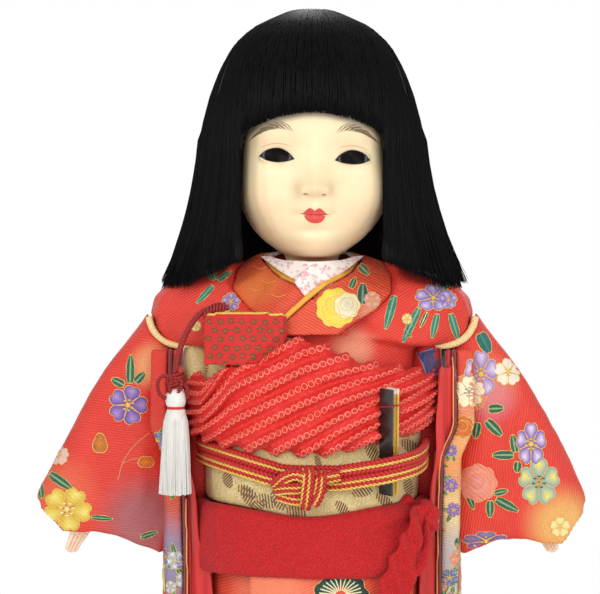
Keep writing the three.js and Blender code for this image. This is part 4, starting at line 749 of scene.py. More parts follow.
def side_strand(turn, stop, lift, wander):
    """A hair of the sides and back, which follows the wig down to its tip."""
    line, out = over_crown(turn, lift)
    sway = np.array((math.cos(turn), math.sin(turn), 0)) * wander
    for share in np.linspace(0, 1, 9)[1:]:
        z = CROWN[2] + (stop - CROWN[2]) * share
        hit, normal = on_wig(np.array((*CROWN[:2], z)) + sway * share, out)
        if hit is None or np.linalg.norm((hit - line[-1])[:2]) > 8:
            last, before = line[-1], line[-2]
            line.append(last + (last - before) * (last[2] - z) / max(1, before[2] - last[2]))
        else:
            line.append(hit + normal * lift)
    return np.array(line)


def front_strand(turn, lift, wander):
    """A hair of the fringe, which hangs straight from the brow of the wig and is cut level."""
    line, _ = over_crown(turn, lift)
    stop = fringe_edge(line[-1][0]) + chance.normal(0, 0.25)
    for share in np.linspace(0, 1, 6)[1:]:
        z = CROWN[2] + (stop - CROWN[2]) * share
        x, y, _ = line[-1]
        hit, _ = on_wig(np.array((x + wander * 0.1, CROWN[1], max(z, stop + 1))), FORWARD)
        if hit is not None and hit[1] < 0:
            x, y = hit[0], hit[1] - lift
        line.append(np.array((x, y, z)))
    return np.array(line)


def lock_strand(across, depth, lift):
    """A hair of the lock beside the cheek: over the temple, then down and a little outwards."""
    line, _ = over_crown(math.atan2(across, 36), lift)
    side = math.copysign(1, across)
    start = line[-1]
    spread = (15 if side < 0 else 17) * max(0, abs(across) - 29) / 16
    for share in np.linspace(0, 1, 9)[1:]:
        tip = HAIR_TIPS + 8 * max(0, 1 - (abs(across) - LOCK_INSIDE) / 11) + chance.normal(0, 0.5)
        z = CROWN[2] + (tip - CROWN[2]) * share
        fallen = min(1, share / 0.2)
        x = start[0] + (across - start[0]) * fallen + side * spread * share ** 2.2
        y = start[1] * (1 - fallen) + fallen * (depth + 2 * share)
        shell, _ = on_wig(np.array((x, 0, z)), FORWARD)
        y = y if shell is None else min(y, shell[1] + lift)
        line.append(np.array((x, min(y, line[-1][1] + 0.3) if share > 0.4 else y, z)))
    return np.array(line)


def hair_piece(name, lines, body=None):
    made = piece_from(name, round_lines(lines, 0.3, 0, lambda t: 1.0 - 0.75 * t ** 5), black_silk, body)
    if not body:
        rests_on_shoulders(made)
    print(name, len(lines), "strands")


def combed(first, last, count, sign=1):
    """Hairs of the sides or the back, between two angles from the front."""
    return [side_strand(sign * turn, HAIR_TIPS + 1.5 * math.cos(3 * turn) + chance.normal(0, 0.9),
                        chance.uniform(-0.5, 0.35), chance.normal(0, 1.6))
            for turn in chance.uniform(first, last, count)]


hair_piece("hair_fringe", [front_strand(turn, chance.uniform(-0.4, 0.4), chance.normal(0, 1.5))
                           for turn in chance.uniform(-0.86, 0.86, 1300)], "head")
for side, sign in SIDES:
    locks = []
    for k in range(520):
        across = chance.uniform(LOCK_INSIDE, LOCK_OUTSIDE)
        hit, _ = on_wig(np.array((sign * across, 0, 350)), FORWARD)
        locks.append(lock_strand(sign * across, hit[1] - chance.uniform(-0.6, 0.9), chance.uniform(-0.3, 0.3)))
    hair_piece("hair_" + side, locks + combed(0.98, 2.2, 800, sign))
hair_piece("hair_back", combed(2.15, 4.13, 1000))

# %% [markdown]
# ## Kimono cloth
# The kimono is vermilion silk crepe. Its weft was twisted hard before weaving, so the cloth puckers into
# fine, wavering ribs, and each panel is cut so that its ribs run another way. A picture of cloth would
# repeat. A distorted wave texture gives ribs that never do, as relief and as painted light and shade in the
# red: lighter on the crests, darker in the furrows. Soft tinted clouds, as from a dyer's brush, fade with
# the distance from their centres.

# %% Crepe with ribs at an angle
def crepe(name, rib_turn, dark=(200, 36, 27), light=(230, 62, 45), tints=(), pitch=1.05):
    cloth = Finish(name, Roughness=0.62, Sheen_Weight=0.05, Sheen_Roughness=0.4)
    turned = cloth.mapped(turn=(0, rib_turn, 0))
    rib = cloth.wave(pitch, "Z", 3.0, turned, 2.0, 1.4)
    # Painted light and shade: the red is lighter on the crests of the ribs and darker in the furrows, in step
    # with the bump below.
    tone = cloth.mix(rib, rgb(*dark), rgb(*light))
    tone = cloth.mix(cloth.times(cloth.noise(18, 2), 0.35), tone, rgb(*[min(255, c + 26) for c in light]))
    for centre, reach, colour, strength in tints:
        away = cloth.add("ShaderNodeVectorMath", {0: cloth.place, 1: Vector(centre) * MM}, operation="DISTANCE")
        near = cloth.step(away.outputs["Value"], reach * 0.25 * MM, reach * MM, strength, 0.0)
        tone = cloth.mix(near, tone, rgb(*colour))
    cloth.link(Base_Color=tone)
    grain = cloth.math("ADD", cloth.times(rib, 0.8), cloth.times(cloth.noise(0.3, 2), 0.5))
    return cloth.bump(grain, 0.22)


def creases(depth, size, seed, pinch=None):
    """Shallow soft folds: noise pushes the cloth in and out along its normals, more where pinch says so."""
    def move(places, normals):
        push = fine_noise(places * (1.0, 1.0, 0.55), size, seed)
        push += 0.4 * fine_noise(places, size * 0.4, seed + 9)
        if pinch is not None:
            push *= pinch(places)
        return places + normals * (push * depth)[:, None]
    return move


print("crepe ready")

# %% Bodice
bodice_crepe = crepe("bodice crepe", 0.55, tints=[((17, -38, 283), 13, (246, 186, 146), 0.6)])
bodice = cover("bodice_cloth", "bodice", (1.4, 7), bodice_crepe, "body", "kimono", creases(0.55, 14, 3))
print("bodice", len(bodice.data.polygons), "faces")

# %% [markdown]
# ## Collars
# Three collars lie one in another: the kimono's own, a narrow yellow one that shows as a line, and a pale
# inner collar embroidered in pink and white, which crosses under the chin. Each is a folded strip, so it is
# made thick and soft rather than flat. The parts of the inner collar that the solids leave out are strips
# laid from the neck to the crossing.

# %% Kimono collar and yellow line
collar_crepe = crepe("collar crepe", -0.5, dark=(196, 44, 26), light=(236, 92, 56), pitch=1.1, tints=[
    ((-24, -30, 312), 16, (236, 140, 60), 0.6), ((23, -36, 295), 11, (246, 186, 146), 0.55)])
kimono_collar = cover("kimono_collar_cloth", "kimono_collar", (0.9, 6), collar_crepe, "body", "kimono",
                      creases(0.3, 9, 5))
yellow_silk = mottled("yellow silk", (1.2, 3), (222, 150, 26), (246, 190, 62), Roughness=0.45, Sheen_Weight=0.2)
yellow_silk.bump(yellow_silk.wave(0.35, "DIAGONAL", 0.6), 0.05)
cover("accent_collar_silk", "accent_collar", (0.5, 5), yellow_silk, "body", "gold_silk")
print("outer collars laid")

# %% Inner collar
pale_silk = Finish("pale embroidered silk", Roughness=0.6, Sheen_Weight=0.3)
stitches = pale_silk.step(pale_silk.noise(2.2, 3, rough=0.7), 0.5, 0.62)
pale_silk.link(Base_Color=pale_silk.mix(stitches, rgb(246, 234, 226), rgb(230, 172, 176)))
pale_silk.bump(pale_silk.math("ADD", stitches, pale_silk.noise(0.4, 2)), 0.15)
cover("inner_collar_silk", "inner_collar", (0.55, 4), pale_silk, "body", "pale_silk")


def strip(edge_a, edge_b, thick, rows=28, across=5):
    """A soft strip of cloth between two edge lines: a grid bent to fit, then given thickness."""
    a, b = smooth_line(edge_a, rows), smooth_line(edge_b, rows)
    bm = bmesh.new()
    bmesh.ops.create_grid(bm, x_segments=across, y_segments=rows - 1, size=1)
    for v in bm.verts:
        row, share = round((v.co.y + 1) / 2 * (rows - 1)), (v.co.x + 1) / 2
        v.co = Vector((a[row] * (1 - share) + b[row] * share) * MM)
    bmesh.ops.recalc_face_normals(bm, faces=bm.faces)
    holder = bpy.data.objects.new("strip", mesh_of(bm, "strip"))
    wall = holder.modifiers.new("wall", "SOLIDIFY")
    wall.thickness, wall.offset = thick * MM, 0
    soften = holder.modifiers.new("soften", "SUBSURF")
    soften.levels = soften.render_levels = 1
    return settled(holder)


left_band = strip([(-21.5, -15, 321.5), (-14, -26, 315.5), (-6, -32.2, 310.5), (4, -35.2, 304.4)],
                  [(-18, -15, 321.2), (-9, -27, 319), (1.2, -32.4, 317.6), (8.6, -34, 310.6)], 0.8)
right_band = strip([(21.5, -15.4, 321.5), (14, -26.6, 315.5), (6, -33, 310.5), (-3, -36.2, 304.4)],
                   [(18, -15.4, 321.2), (9.5, -27.6, 319), (-0.4, -33.2, 317.4), (-7.6, -34.8, 310.6)], 0.8)
throat_band = strip([(-14.5, -21, 320), (-8, -28.6, 319.4), (0.4, -32.4, 319), (8.6, -29, 319.4),
                     (14.8, -21, 320)],
                    [(-13, -24, 311), (-7, -30.6, 310), (0.6, -34, 306), (7.4, -31, 310), (13, -24, 311)], 0.6)
under_collar = piece_from("under_collar_silk", joined(left_band, right_band, throat_band), pale_silk,
                          "body")
print("inner collar laid")

# %% [markdown]
# ## Sleeves
# Each sleeve is a wide flat bag that hangs from the arm. The long end that falls beside the body shows its
# red lining, a dark plum band piped in lilac and apricot, and the printed outer cloth. The solids hold these
# layers apart, and each gets a fine skin with soft hanging folds, deepest near the lower edge.

# %% Sleeves, hanging ends, trims and linings
SLEEVE_RIBS = {"right": -0.12, "left": 1.42}
SLEEVE_TINTS = {
    "right": [((-70, -14, 212), 24, (150, 104, 110), 0.75), ((-104, -14, 224), 20, (232, 120, 80), 0.5),
              ((-66, -20, 276), 13, (244, 196, 128), 0.6)],
    "left": [((104, -14, 210), 20, (240, 196, 110), 0.75), ((72, -18, 268), 18, (244, 150, 110), 0.6),
             ((74, -14, 262), 14, (190, 130, 170), 0.35)],
}
END_TINTS = {
    "right": [((-62, -28, 196), 26, (126, 140, 172), 0.85), ((-60, -28, 150), 30, (150, 130, 170), 0.8),
              ((-62, -10, 100), 46, (140, 150, 178), 0.75), ((-58, -24, 272), 44, (218, 52, 38), 0.9),
              ((-58, 6, 272), 44, (218, 52, 38), 0.9)],
    "left": [((60, -28, 196), 22, (186, 176, 190), 0.8), ((56, -28, 168), 26, (178, 196, 150), 0.85),
             ((66, -28, 205), 8, (226, 120, 60), 0.8), ((62, -6, 110), 50, (196, 204, 160), 0.7),
             ((58, -22, 236), 20, (236, 132, 62), 0.75), ((58, -24, 276), 36, (222, 54, 40), 0.95),
             ((58, 6, 276), 36, (222, 54, 40), 0.95)],
}
END_REDS = {"right": ((176, 52, 40), (220, 96, 70)), "left": ((222, 176, 96), (246, 226, 166))}
CUFF_DROPS = {"right": 1.5, "left": 6.5}
plum_silk = Finish("plum silk", Roughness=0.42, Sheen_Weight=0.3)
plum_clouds = plum_silk.noise(6, 3, plum_silk.mapped((1, 1, 0.2)))
plum_silk.link(Base_Color=plum_silk.mix(plum_clouds, rgb(88, 18, 26), rgb(150, 40, 40)))
plum_silk.bump(plum_silk.wave(0.5, "Z", 0.8), 0.06)
red_lining = Finish("red silk lining", Roughness=0.5, Sheen_Weight=0.25)
red_clouds = red_lining.noise(8, 3, red_lining.mapped((1, 1, 0.15)))
red_lining.link(Base_Color=red_lining.mix(red_clouds, rgb(186, 18, 20), rgb(226, 46, 36)))
red_lining.bump(red_lining.wave(0.6, "DIAGONAL", 1.0), 0.05)


def hang(places):
    """How far the cloth of a sleeve hangs free, which deepens its folds."""
    return 0.5 + np.clip((290 - places[:, 2]) / 70, 0, 1.1)


def swaying(sign):
    """Long soft folds down the hanging end, the same for each of its layers."""
    def move(places, normals):
        depth, height = places[:, 1], places[:, 2]
        fall = np.clip((268 - height) / 120, 0, 1)
        wave = 1.9 * np.sin(depth * 0.24 + height / 55) + 0.8 * np.sin(depth * 0.5 - 1.0)
        places[:, 0] += sign * fall * wave
        return places
    return move


def dropping(deep):
    """The mouth of the sleeve sags between the hand and the hanging end."""
    def move(places, normals):
        near = np.exp(-((np.abs(places[:, 0]) - 101) / 15) ** 2)
        places[:, 2] -= deep * near * np.clip((236 - places[:, 2]) / 30, 0, 1)
        return places
    return move


sleeves, drops, trims, linings, folds = {}, {}, {}, {}, {}
for side, sign in SIDES:
    arm, sway = "arm_" + side, swaying(sign)
    cloth = crepe("sleeve crepe " + side, SLEEVE_RIBS[side], tints=SLEEVE_TINTS[side])
    sleeves[side] = cover("sleeve_cloth_" + side, "sleeve_" + side, (1.3, 8), cloth, arm, "kimono",
                          creases(0.9, 17, 11 * sign, hang), dropping(CUFF_DROPS[side]))
    cloth = crepe("sleeve end crepe " + side, 0.2, *END_REDS[side], tints=END_TINTS[side], pitch=1.0)
    drops[side] = cover("sleeve_end_" + side, "sleeve_drop_" + side, (1.1, 8), cloth, arm, "kimono",
                        creases(0.4, 15, 21 * sign), sway)
    trims[side] = cover("sleeve_trim_cloth_" + side, "sleeve_trim_" + side, (0.65, 5), plum_silk,
                        arm, "plum", sway)
    linings[side] = cover("sleeve_lining_cloth_" + side, "sleeve_lining_" + side, (0.8, 5), red_lining,
                          arm, "lining", sway)
print("sleeves", [len(s.data.polygons) for s in sleeves.values()], "faces")

# %% The lining's edge, folded to the front
FOLD_HEIGHTS = (276, 256, 241, 229, 205, 188, 150, 78)
FOLD_OUTER = (57.4, 57, 55, 51.4, 49.6, 49.6, 49.6, 49.6)
FOLD_INNER = {"right": (53, 52, 51.5, 49, 45.6, 40.5, 38.5, 38),
              "left": (52.4, 50.0, 50.2, 49.2, 46.6, 43.4, 42.6, 42)}


def edge_ripples(places, normals):
    return places + normals * (0.55 * np.sin(places[:, 0] * 1.3 + places[:, 2] / 30))[:, None]


for side, sign in SIDES:
    outer = [(sign * x, -23.5, z) for x, z in zip(FOLD_OUTER, FOLD_HEIGHTS)]
    inner = [(sign * x, -28.6 + 0.1 * k, z) for k, (x, z) in enumerate(zip(FOLD_INNER[side], FOLD_HEIGHTS))]
    folded = shape_points(strip(outer, inner, 0.9, 60, 14), edge_ripples)
    folds[side] = piece_from("lining_fold_" + side, folded, red_lining, "arm_" + side)
print("lining folds", [len(f.data.polygons) for f in folds.values()], "faces")

# %% [markdown]
# ## Shoulder seams
# A sleeve is sewn to the shoulder with a lapped seam, which shows as a pale band. It is a strip bent round
# the shoulder, so that it slides along its own curve when the arm lifts and never opens a gap.

# %% Lapped seam round each shoulder
SHOULDER_X, SHOULDER_Z, SHOULDER_RADIUS = 54.0, 298.0, 13.5
seam_crepe = crepe("seam crepe", 0.9, dark=(232, 178, 110), light=(250, 228, 172), pitch=0.9)


def shoulder_arc(sign, depth):
    turns = np.radians(np.linspace(-6, -122, 12))
    return [(sign * (SHOULDER_X + SHOULDER_RADIUS * math.cos(a)), depth - 3 * max(0, -math.sin(a)),
             SHOULDER_Z + SHOULDER_RADIUS * math.sin(a)) for a in turns]


for side, sign in SIDES:
    seam = strip(shoulder_arc(sign, -19.4), shoulder_arc(sign, 9.5), 2.7, 40, 14)
    seam = shape_points(seam, creases(0.25, 7, 36))
    piece_from("shoulder_seam_" + side, seam, seam_crepe, "arm_" + side)
print("shoulder seams lapped")

# %% [markdown]
# ## The printed flowers
# Blossoms, peonies and leaves are dyed on the crepe and outlined in gold. Drawing them as node masks would
# take hundreds of nodes. Here each motif is a few flat outlines, drawn in the units of the picture and laid
# on the cloth from the front, so it takes every fold of the cloth below it. A vertex colour runs from the
# middle of each petal to its edge, which gives the shaded look of hand dyeing. The back gets the same drawing
# from behind.

# %% Dyes and a sheet of drawn shapes
PURPLE, LILAC, WHITE = (104, 62, 158), (176, 150, 208), (240, 232, 230)
YELLOW, CREAM, GOLD = (238, 204, 62), (246, 232, 178), (222, 186, 98)
GREEN, PALE_GREEN, TEAL = (34, 92, 66), (136, 178, 124), (38, 128, 116)
PINK, ORANGE, ROSE = (244, 178, 160), (226, 128, 34), (224, 110, 96)
BUTTER, BLUSH, VIOLET = (CREAM, YELLOW), (PINK, ROSE), (LILAC, PURPLE)
SNOW, FROST = (WHITE, PINK), (WHITE, LILAC)


def dot(centre, radius, count=6, last=5.2):
    """The outline of a small dot, cut off with a short last side, as a brush leaves it."""
    turn = np.linspace(0, last, count)
    return np.asarray(centre) + radius * np.column_stack([np.sin(turn), np.cos(turn)])


class Drawing:
    """Flat shapes in picture units, each with a colour inside, one at its edge and a lift off the cloth."""

    def __init__(self):
        self.bm = bmesh.new()
        self.dye = self.bm.verts.layers.float_color.new("dye")
        self.lift = self.bm.verts.layers.float.new("lift")

    def shape(self, outline, middle, edge, lift=0.16):
        outline = np.asarray(outline, float)
        made = bmesh.ops.create_circle(self.bm, cap_ends=True, cap_tris=True, segments=len(outline), radius=1)
        for v in made["verts"]:
            inside = v.co.length < 0.5
            turn = round(math.atan2(v.co.y, v.co.x) / (2 * math.pi) * len(outline))
            x, z = outline.mean(0) if inside else outline[turn % len(outline)]
            v[self.dye], v[self.lift] = rgb(*(middle if inside else edge)), lift
            v.co = (x, 0, z)

    def outlined(self, outline, middle, edge, lift=0.16, rim=0.9, line=GOLD):
        outline = np.asarray(outline, float)
        away = outline - outline.mean(0)
        self.shape(outline + away / np.linalg.norm(away, axis=1)[:, None] * rim, line, line, lift - 0.05)
        self.shape(outline, middle, edge, lift)

    def leaf(self, root, tip, width, middle=PALE_GREEN, edge=GREEN):
        root, tip = np.array(root, float), np.array(tip, float)
        along = tip - root
        side = np.array((-along[1], along[0])) / np.linalg.norm(along) * width
        belly = [(t, math.sin(math.pi * t ** 0.8)) for t in np.linspace(0, 1, 8)]
        belly += [(t, -b) for t, b in belly[-2:0:-1]]
        self.outlined([root + along * t + side * b for t, b in belly], edge, edge)
        self.shape([root + along * t + side * b * 0.22 for t, b in belly], middle, middle, 0.2)

    def leaves(self, *table):
        """Many leaves: across and down of the root, the same of the tip, and a width."""
        for x0, z0, x1, z1, width in table:
            self.leaf((x0, z0), (x1, z1), width)

    def blossom(self, centre, size, middle=LILAC, edge=PURPLE, turn=0.0, heart=YELLOW, stretch=(1, 1),
                lift=0.2):
        centre = np.array(centre, float)
        for k in range(5):
            out = turn + k * 2 * math.pi / 5
            petal = []
            for t in np.linspace(-1, 1, 11):
                reach = 1 - 0.13 * math.exp(-(t / 0.2) ** 2) - 0.30 * abs(t) ** 3
                a = out + t * 0.60
                petal.append(centre + np.array((math.sin(a), -math.cos(a))) * reach * size * stretch)
            petal.append(centre + np.array((math.sin(out), -math.cos(out))) * 0.1 * size)
            self.outlined(petal, middle, edge, lift + 0.01 * k)
        for k in range(7):
            a = turn + k * 2 * math.pi / 7
            spot = centre + np.array((math.sin(a), -math.cos(a))) * size * 0.26
            self.shape(dot(spot, size * 0.07), heart, heart, lift + 0.12)
        self.shape(dot(centre, size * 0.13, 8, 5.5), heart, GOLD, lift + 0.13)

    def peony(self, centre, size, middle, edge, lobes=8, lift=0.2):
        centre = np.array(centre, float)
        for layer, (share, shift) in enumerate(((1, 0), (0.74, 0.13), (0.46, -0.1))):
            a = circle(lobes * 5)
            reach = size * share * (0.84 + 0.16 * np.abs(np.cos(a * lobes / 2 + layer)) ** 0.6)
            ring = np.column_stack([np.cos(a) * reach, np.sin(a) * reach])
            ring += centre + (shift * size * 0.4, shift * size)
            self.outlined(ring, np.array(middle) * (1 - 0.05 * layer), edge, lift + 0.06 * layer, 0.6)

    def stroke(self, points, width, colour=GOLD, lift=0.16):
        line = smooth_line([(x, 0, z) for x, z in points], 14)[:, ::2]
        along = np.gradient(line, axis=0)
        side = np.column_stack([-along[:, 1], along[:, 0]]) / np.linalg.norm(along, axis=1)[:, None] * width / 2
        left, right = line + side, line - side
        for k in range(len(line) - 1):
            self.shape([left[k], left[k + 1], right[k + 1], right[k]], colour, colour, lift)

    def laid_on(self, tree, name, body, sight=None):
        """Cuts the shapes finely, drops them on a surface along lines of sight and removes what misses it."""
        bm = self.bm.copy()
        lift = bm.verts.layers.float["lift"]
        for _ in range(2):
            bmesh.ops.subdivide_edges(bm, edges=[e for e in bm.edges if e.calc_length() > 3.2], cuts=1)
        bmesh.ops.triangulate(bm, faces=bm.faces)
        missing, wrong = [], []
        for v in bm.verts:
            start, along = (sight or from_front)(v.co.x, v.co.z)
            along = Vector(along).normalized()
            hit, normal, _, _ = tree.ray_cast(Vector(start) * MM, along)
            if hit is None or normal.dot(along) > -0.12:
                missing.append(v)
            else:
                v.co = hit + normal * v[lift] * MM
        bmesh.ops.delete(bm, geom=missing, context="VERTS")
        bmesh.ops.delete(bm, geom=[e for e in bm.edges if e.calc_length() > 5 * MM], context="EDGES")
        bmesh.ops.delete(bm, geom=[v for v in bm.verts if not v.link_faces], context="VERTS")
        for face in bm.faces:
            near = tree.find_nearest(face.calc_center_median())
            if face.normal.dot(near[1]) < 0:
                wrong.append(face)
        bmesh.ops.reverse_faces(bm, faces=wrong)
        piece_from(name, mesh_of(bm, name), dyed, body)

    def laid_on_both(self, made, name, body):
        """Lays the same drawing on from the front and from behind."""
        for sight, ending in ((from_front, ""), (from_behind, "_back")):
            self.laid_on(surface_of(made), name + ending, body, sight)


MIDDLE_X, MIDDLE_Z = 300, 297  # the middle of the picture, in its own units
UNIT, SIDE_UNIT = 0.42, 0.4  # millimetres in a picture unit, at the front of the doll and at its sides


def from_front(x, z):
    return VIEWPOINT, ((x - MIDDLE_X) * UNIT, 700, (MIDDLE_Z - z) * UNIT)


def from_behind(x, z):
    return (VIEWPOINT[0], 690, VIEWPOINT[2]), ((x - MIDDLE_X) * UNIT, -700, (MIDDLE_Z - z) * UNIT)


def side_height(z):
    return VIEWPOINT[2] - (z - MIDDLE_Z) * SIDE_UNIT


def from_side(sign):
    """Straight sight on a side of the doll: x counts from its front to its back, in the picture's units."""
    return lambda x, z: ((sign * 300, (x - MIDDLE_X) * SIDE_UNIT, side_height(z)), (-sign, 0, 0))


def from_round(x, z):
    """Sight from all round towards the middle: x counts round the doll, from the front."""
    turn = (x - MIDDLE_X) / 125
    outward = (math.sin(turn), -math.cos(turn), 0)
    start = (outward[0] * 300, outward[1] * 300 + MIDDLE_Y, side_height(z))
    return start, (-outward[0], -outward[1], 0)


dyed = Finish("dyed and gilded print", Roughness=0.55, Sheen_Weight=0.15)
print_rib = dyed.wave(0.9, "DIAGONAL", 3.0, None, 2.0, 1.4)
warm = rgb(255, 236, 206)
dyed.link(Base_Color=dyed.mix(dyed.times(print_rib, 0.22), dyed.attribute("dye"), warm, "MULTIPLY"))
dyed.bump(dyed.math("ADD", print_rib, dyed.noise(0.3, 2)), 0.14)
print("dyes mixed")

# %% Motifs on the doll's right sleeve
right_sleeve = Drawing()
right_sleeve.leaves((130, 388, 131, 350, 4.2), (126, 386, 110, 378, 4), (134, 384, 146, 371, 4))
right_sleeve.blossom((128, 405), 20, turn=0.3)
right_sleeve.outlined([(100 + 7 * math.sin(a) * (1 - 0.3 * math.cos(a)), 443 - 10 * math.cos(a))
                       for a in np.linspace(0, 6, 14)], (210, 130, 30), (186, 100, 36))
right_sleeve.outlined([(146 + 8 * math.sin(a), 462 - 5.5 * math.cos(a)) for a in np.linspace(0, 6, 14)],
                      (236, 140, 20), (210, 96, 40))
right_sleeve.stroke([(149.6, 432.6), (136, 444), (124, 460), (118, 480)], 1.3, (214, 128, 80))
right_sleeve.stroke([(122, 464), (130, 460), (138, 458)], 1.1, (214, 128, 80))
right_sleeve.leaves((46, 471, 76, 492, 4.5), (42, 502, 40, 472, 3), (88, 517, 116, 519, 2.6),
                    (138, 538, 160, 531, 2.8), (64, 438, 58, 424, 2.6))
right_sleeve.blossom((59, 455), 10, PINK, (230, 200, 200))
right_sleeve.blossom((67, 509), 24, (240, 222, 120), (212, 172, 24), 0.5, CREAM, (1.05, 0.95))
right_sleeve.blossom((160, 330), 9, PURPLE, (196, 160, 210))
right_sleeve.laid_on_both(sleeves["right"], "sleeve_print_right", "arm_right")
print("right sleeve printed")

# %% Motifs on the doll's left sleeve
left_sleeve = Drawing()
left_sleeve.leaf((478, 330), (491, 356), 6.5, TEAL, (24, 100, 92))
left_sleeve.leaf((470, 334), (476, 308), 5, CREAM, (232, 214, 130))
left_sleeve.blossom((508, 372), 14, WHITE, (250, 232, 196))


def shoulder_flowers(sheet):
    """The spray that runs on from the sleeve over its hanging end."""
    sheet.blossom((481, 374), 20, (226, 208, 232), (150, 118, 188), stretch=(0.85, 1.2))
    sheet.peony((468, 393), 20, (240, 160, 130), (232, 130, 104))
    sheet.blossom((469, 392), 16, CREAM, (248, 238, 214), heart=(96, 130, 160), lift=0.4)
    sheet.peony((463, 427), 11, ORANGE, (206, 96, 30))


shoulder_flowers(left_sleeve)
sleeve_end_top = Drawing()
shoulder_flowers(sleeve_end_top)
sleeve_end_top.laid_on(surface_of(drops["left"]), "sleeve_end_top_print", "arm_left")
left_sleeve.leaves((486, 409, 506, 408, 4.5), (484, 418, 504, 438, 5), (478, 420, 475, 441, 4.2),
                   (517, 455, 489, 455, 4.5), (516, 455, 512, 432, 4), (518, 460, 517, 474, 4),
                   (466, 488, 475, 512, 3.4), (490, 498, 490, 520, 4), (492, 497, 522, 513, 4.5),
                   (492, 494, 510, 490, 3))
left_sleeve.blossom((531, 444), 19, (236, 222, 240), (112, 70, 168), stretch=(0.8, 1.15))
left_sleeve.blossom((539, 482), 22, (246, 226, 96), (120, 164, 170), heart=(60, 90, 60), stretch=(0.95, 1.1))
left_sleeve.peony((478, 483), 19, (244, 176, 160), (232, 130, 116))
left_sleeve.blossom((486, 541), 16, (150, 120, 170), (112, 84, 140), stretch=(1.5, 0.6))
left_sleeve.stroke([(546, 540), (543, 520), (552, 508), (566, 514)], 1.2)
left_sleeve.stroke([(556, 536), (562, 520), (572, 506)], 1.2)
left_sleeve.blossom((560, 527), 10, CREAM, (240, 210, 130), heart=GOLD)
left_sleeve.laid_on_both(sleeves["left"], "sleeve_print_left", "arm_left")
print("left sleeve printed")

# %% Motifs on the bodice and collar
breast = Drawing()
for x0, z0, x1, z1, wide in (
        (216, 282, 199, 264, 2.6), (216, 282, 233, 270, 2.8), (216, 283, 194, 306, 3),
        (216, 281, 212, 268, 2.2), (238, 296, 244, 280, 2.4), (422, 302, 400, 348, 4),
        (438, 310, 431, 342, 3.4), (449, 309, 460, 346, 3.8), (428, 310, 419, 330, 2.2),
        (440, 290, 452, 283, 3), (396, 290, 384, 335, 4.2)):
    breast.leaf((x0, z0), (x1, z1), wide, *((CREAM, GREEN) if wide < 2.5 else (PALE_GREEN, TEAL)))
breast.blossom((231, 302), 9, (206, 186, 222), PURPLE)
breast.peony((224, 312), 6, WHITE, CREAM)
breast.blossom((433, 298), 16, (214, 200, 230), (122, 84, 178), stretch=(1.15, 0.85))
breast.blossom((448, 300), 9, (206, 196, 230), (122, 84, 178))
breast.blossom((407, 319), 5, CREAM, GOLD)
breast.blossom((196, 326), 5, CREAM, GOLD)
breast.leaf((404, 328), (412, 338), 2)
breast.laid_on_both(bodice, "bodice_print", "body")
lapel = Drawing()
lapel.peony((336, 308), 20, (250, 234, 120), (244, 214, 66), 9)
lapel.peony((347, 306), 13, WHITE, CREAM, 7, lift=0.4)
lapel.leaf((362, 308), (363, 280), 5.4, (120, 160, 140), (30, 80, 70))
lapel.leaf((358, 264), (370, 276), 4, (170, 196, 150), (70, 110, 70))
lapel.leaf((350, 290), (356, 276), 3)
lapel.blossom((372, 300), 8, (240, 200, 190), (226, 130, 120))
for x, z in ((262, 268), (270, 282), (258, 290), (280, 296)):
    lapel.stroke([(x - 9, z - 2), (x - 2, z + 1), (x + 6, z - 1)], 0.7, (236, 170, 96))
lapel.laid_on(surface_of(kimono_collar), "collar_print", "body")
print("bodice and collar printed")

# %% [markdown]
# ## The obi
# The obi is a stiff brocade of cream and gold thread, wound round the body, with brown leaves woven into it.
# Its ground is a fine twill of thin slanting lines, clouded with darker and paler thread. The woven leaves
# are hatched with parallel threads, so each is drawn as a row of narrow strokes, in the same way as the
# print.

# %% Brocade round the body
def brocade(name):
    woven = Finish(name, Roughness=0.42, Metallic=0.05, Sheen_Weight=0.15)
    turned = woven.mapped(turn=(0, 0.6, 0.4))
    twill = woven.wave(0.42, "Z", 1.2, turned, 2.0, 2.0)
    patch = woven.step(woven.noise(7, 4, rough=0.6), 0.44, 0.6)
    tone = woven.mix(twill, rgb(216, 182, 94), rgb(253, 238, 168))
    tone = woven.mix(woven.times(patch, 0.42), tone, rgb(208, 178, 100))
    tone = woven.mix(woven.step(woven.noise(0.6, 3), 0.47, 0.66, 0.0, 0.8), tone, rgb(255, 247, 214))
    woven.link(Base_Color=tone)
    return woven.bump(woven.math("ADD", twill, woven.noise(0.25, 2)), 0.14)


obi_brocade = brocade("obi brocade")


def wound(places, normals):
    """The obi dips a little in front, and at the doll's left its upper edge runs lower, under the sash."""
    turn = turn_from_front(places)
    upper, lower = np.clip((places[:, 2] - 256) / 33, 0, 1), np.clip((234 - places[:, 2]) / 11, 0, 1)
    places[:, 2] -= upper * 14.5 * ease(turn, -0.32, 0.3) * (1 - ease(turn, 1.7, 2.2))
    places[:, 2] -= lower * 5.0 * np.exp(-(turn / 0.62) ** 2)
    return places


obi = cover("obi_brocade", "obi", (1.2, 6), obi_brocade, "body", "brocade", creases(0.25, 16, 41), wound)
print("obi", len(obi.data.polygons), "faces")

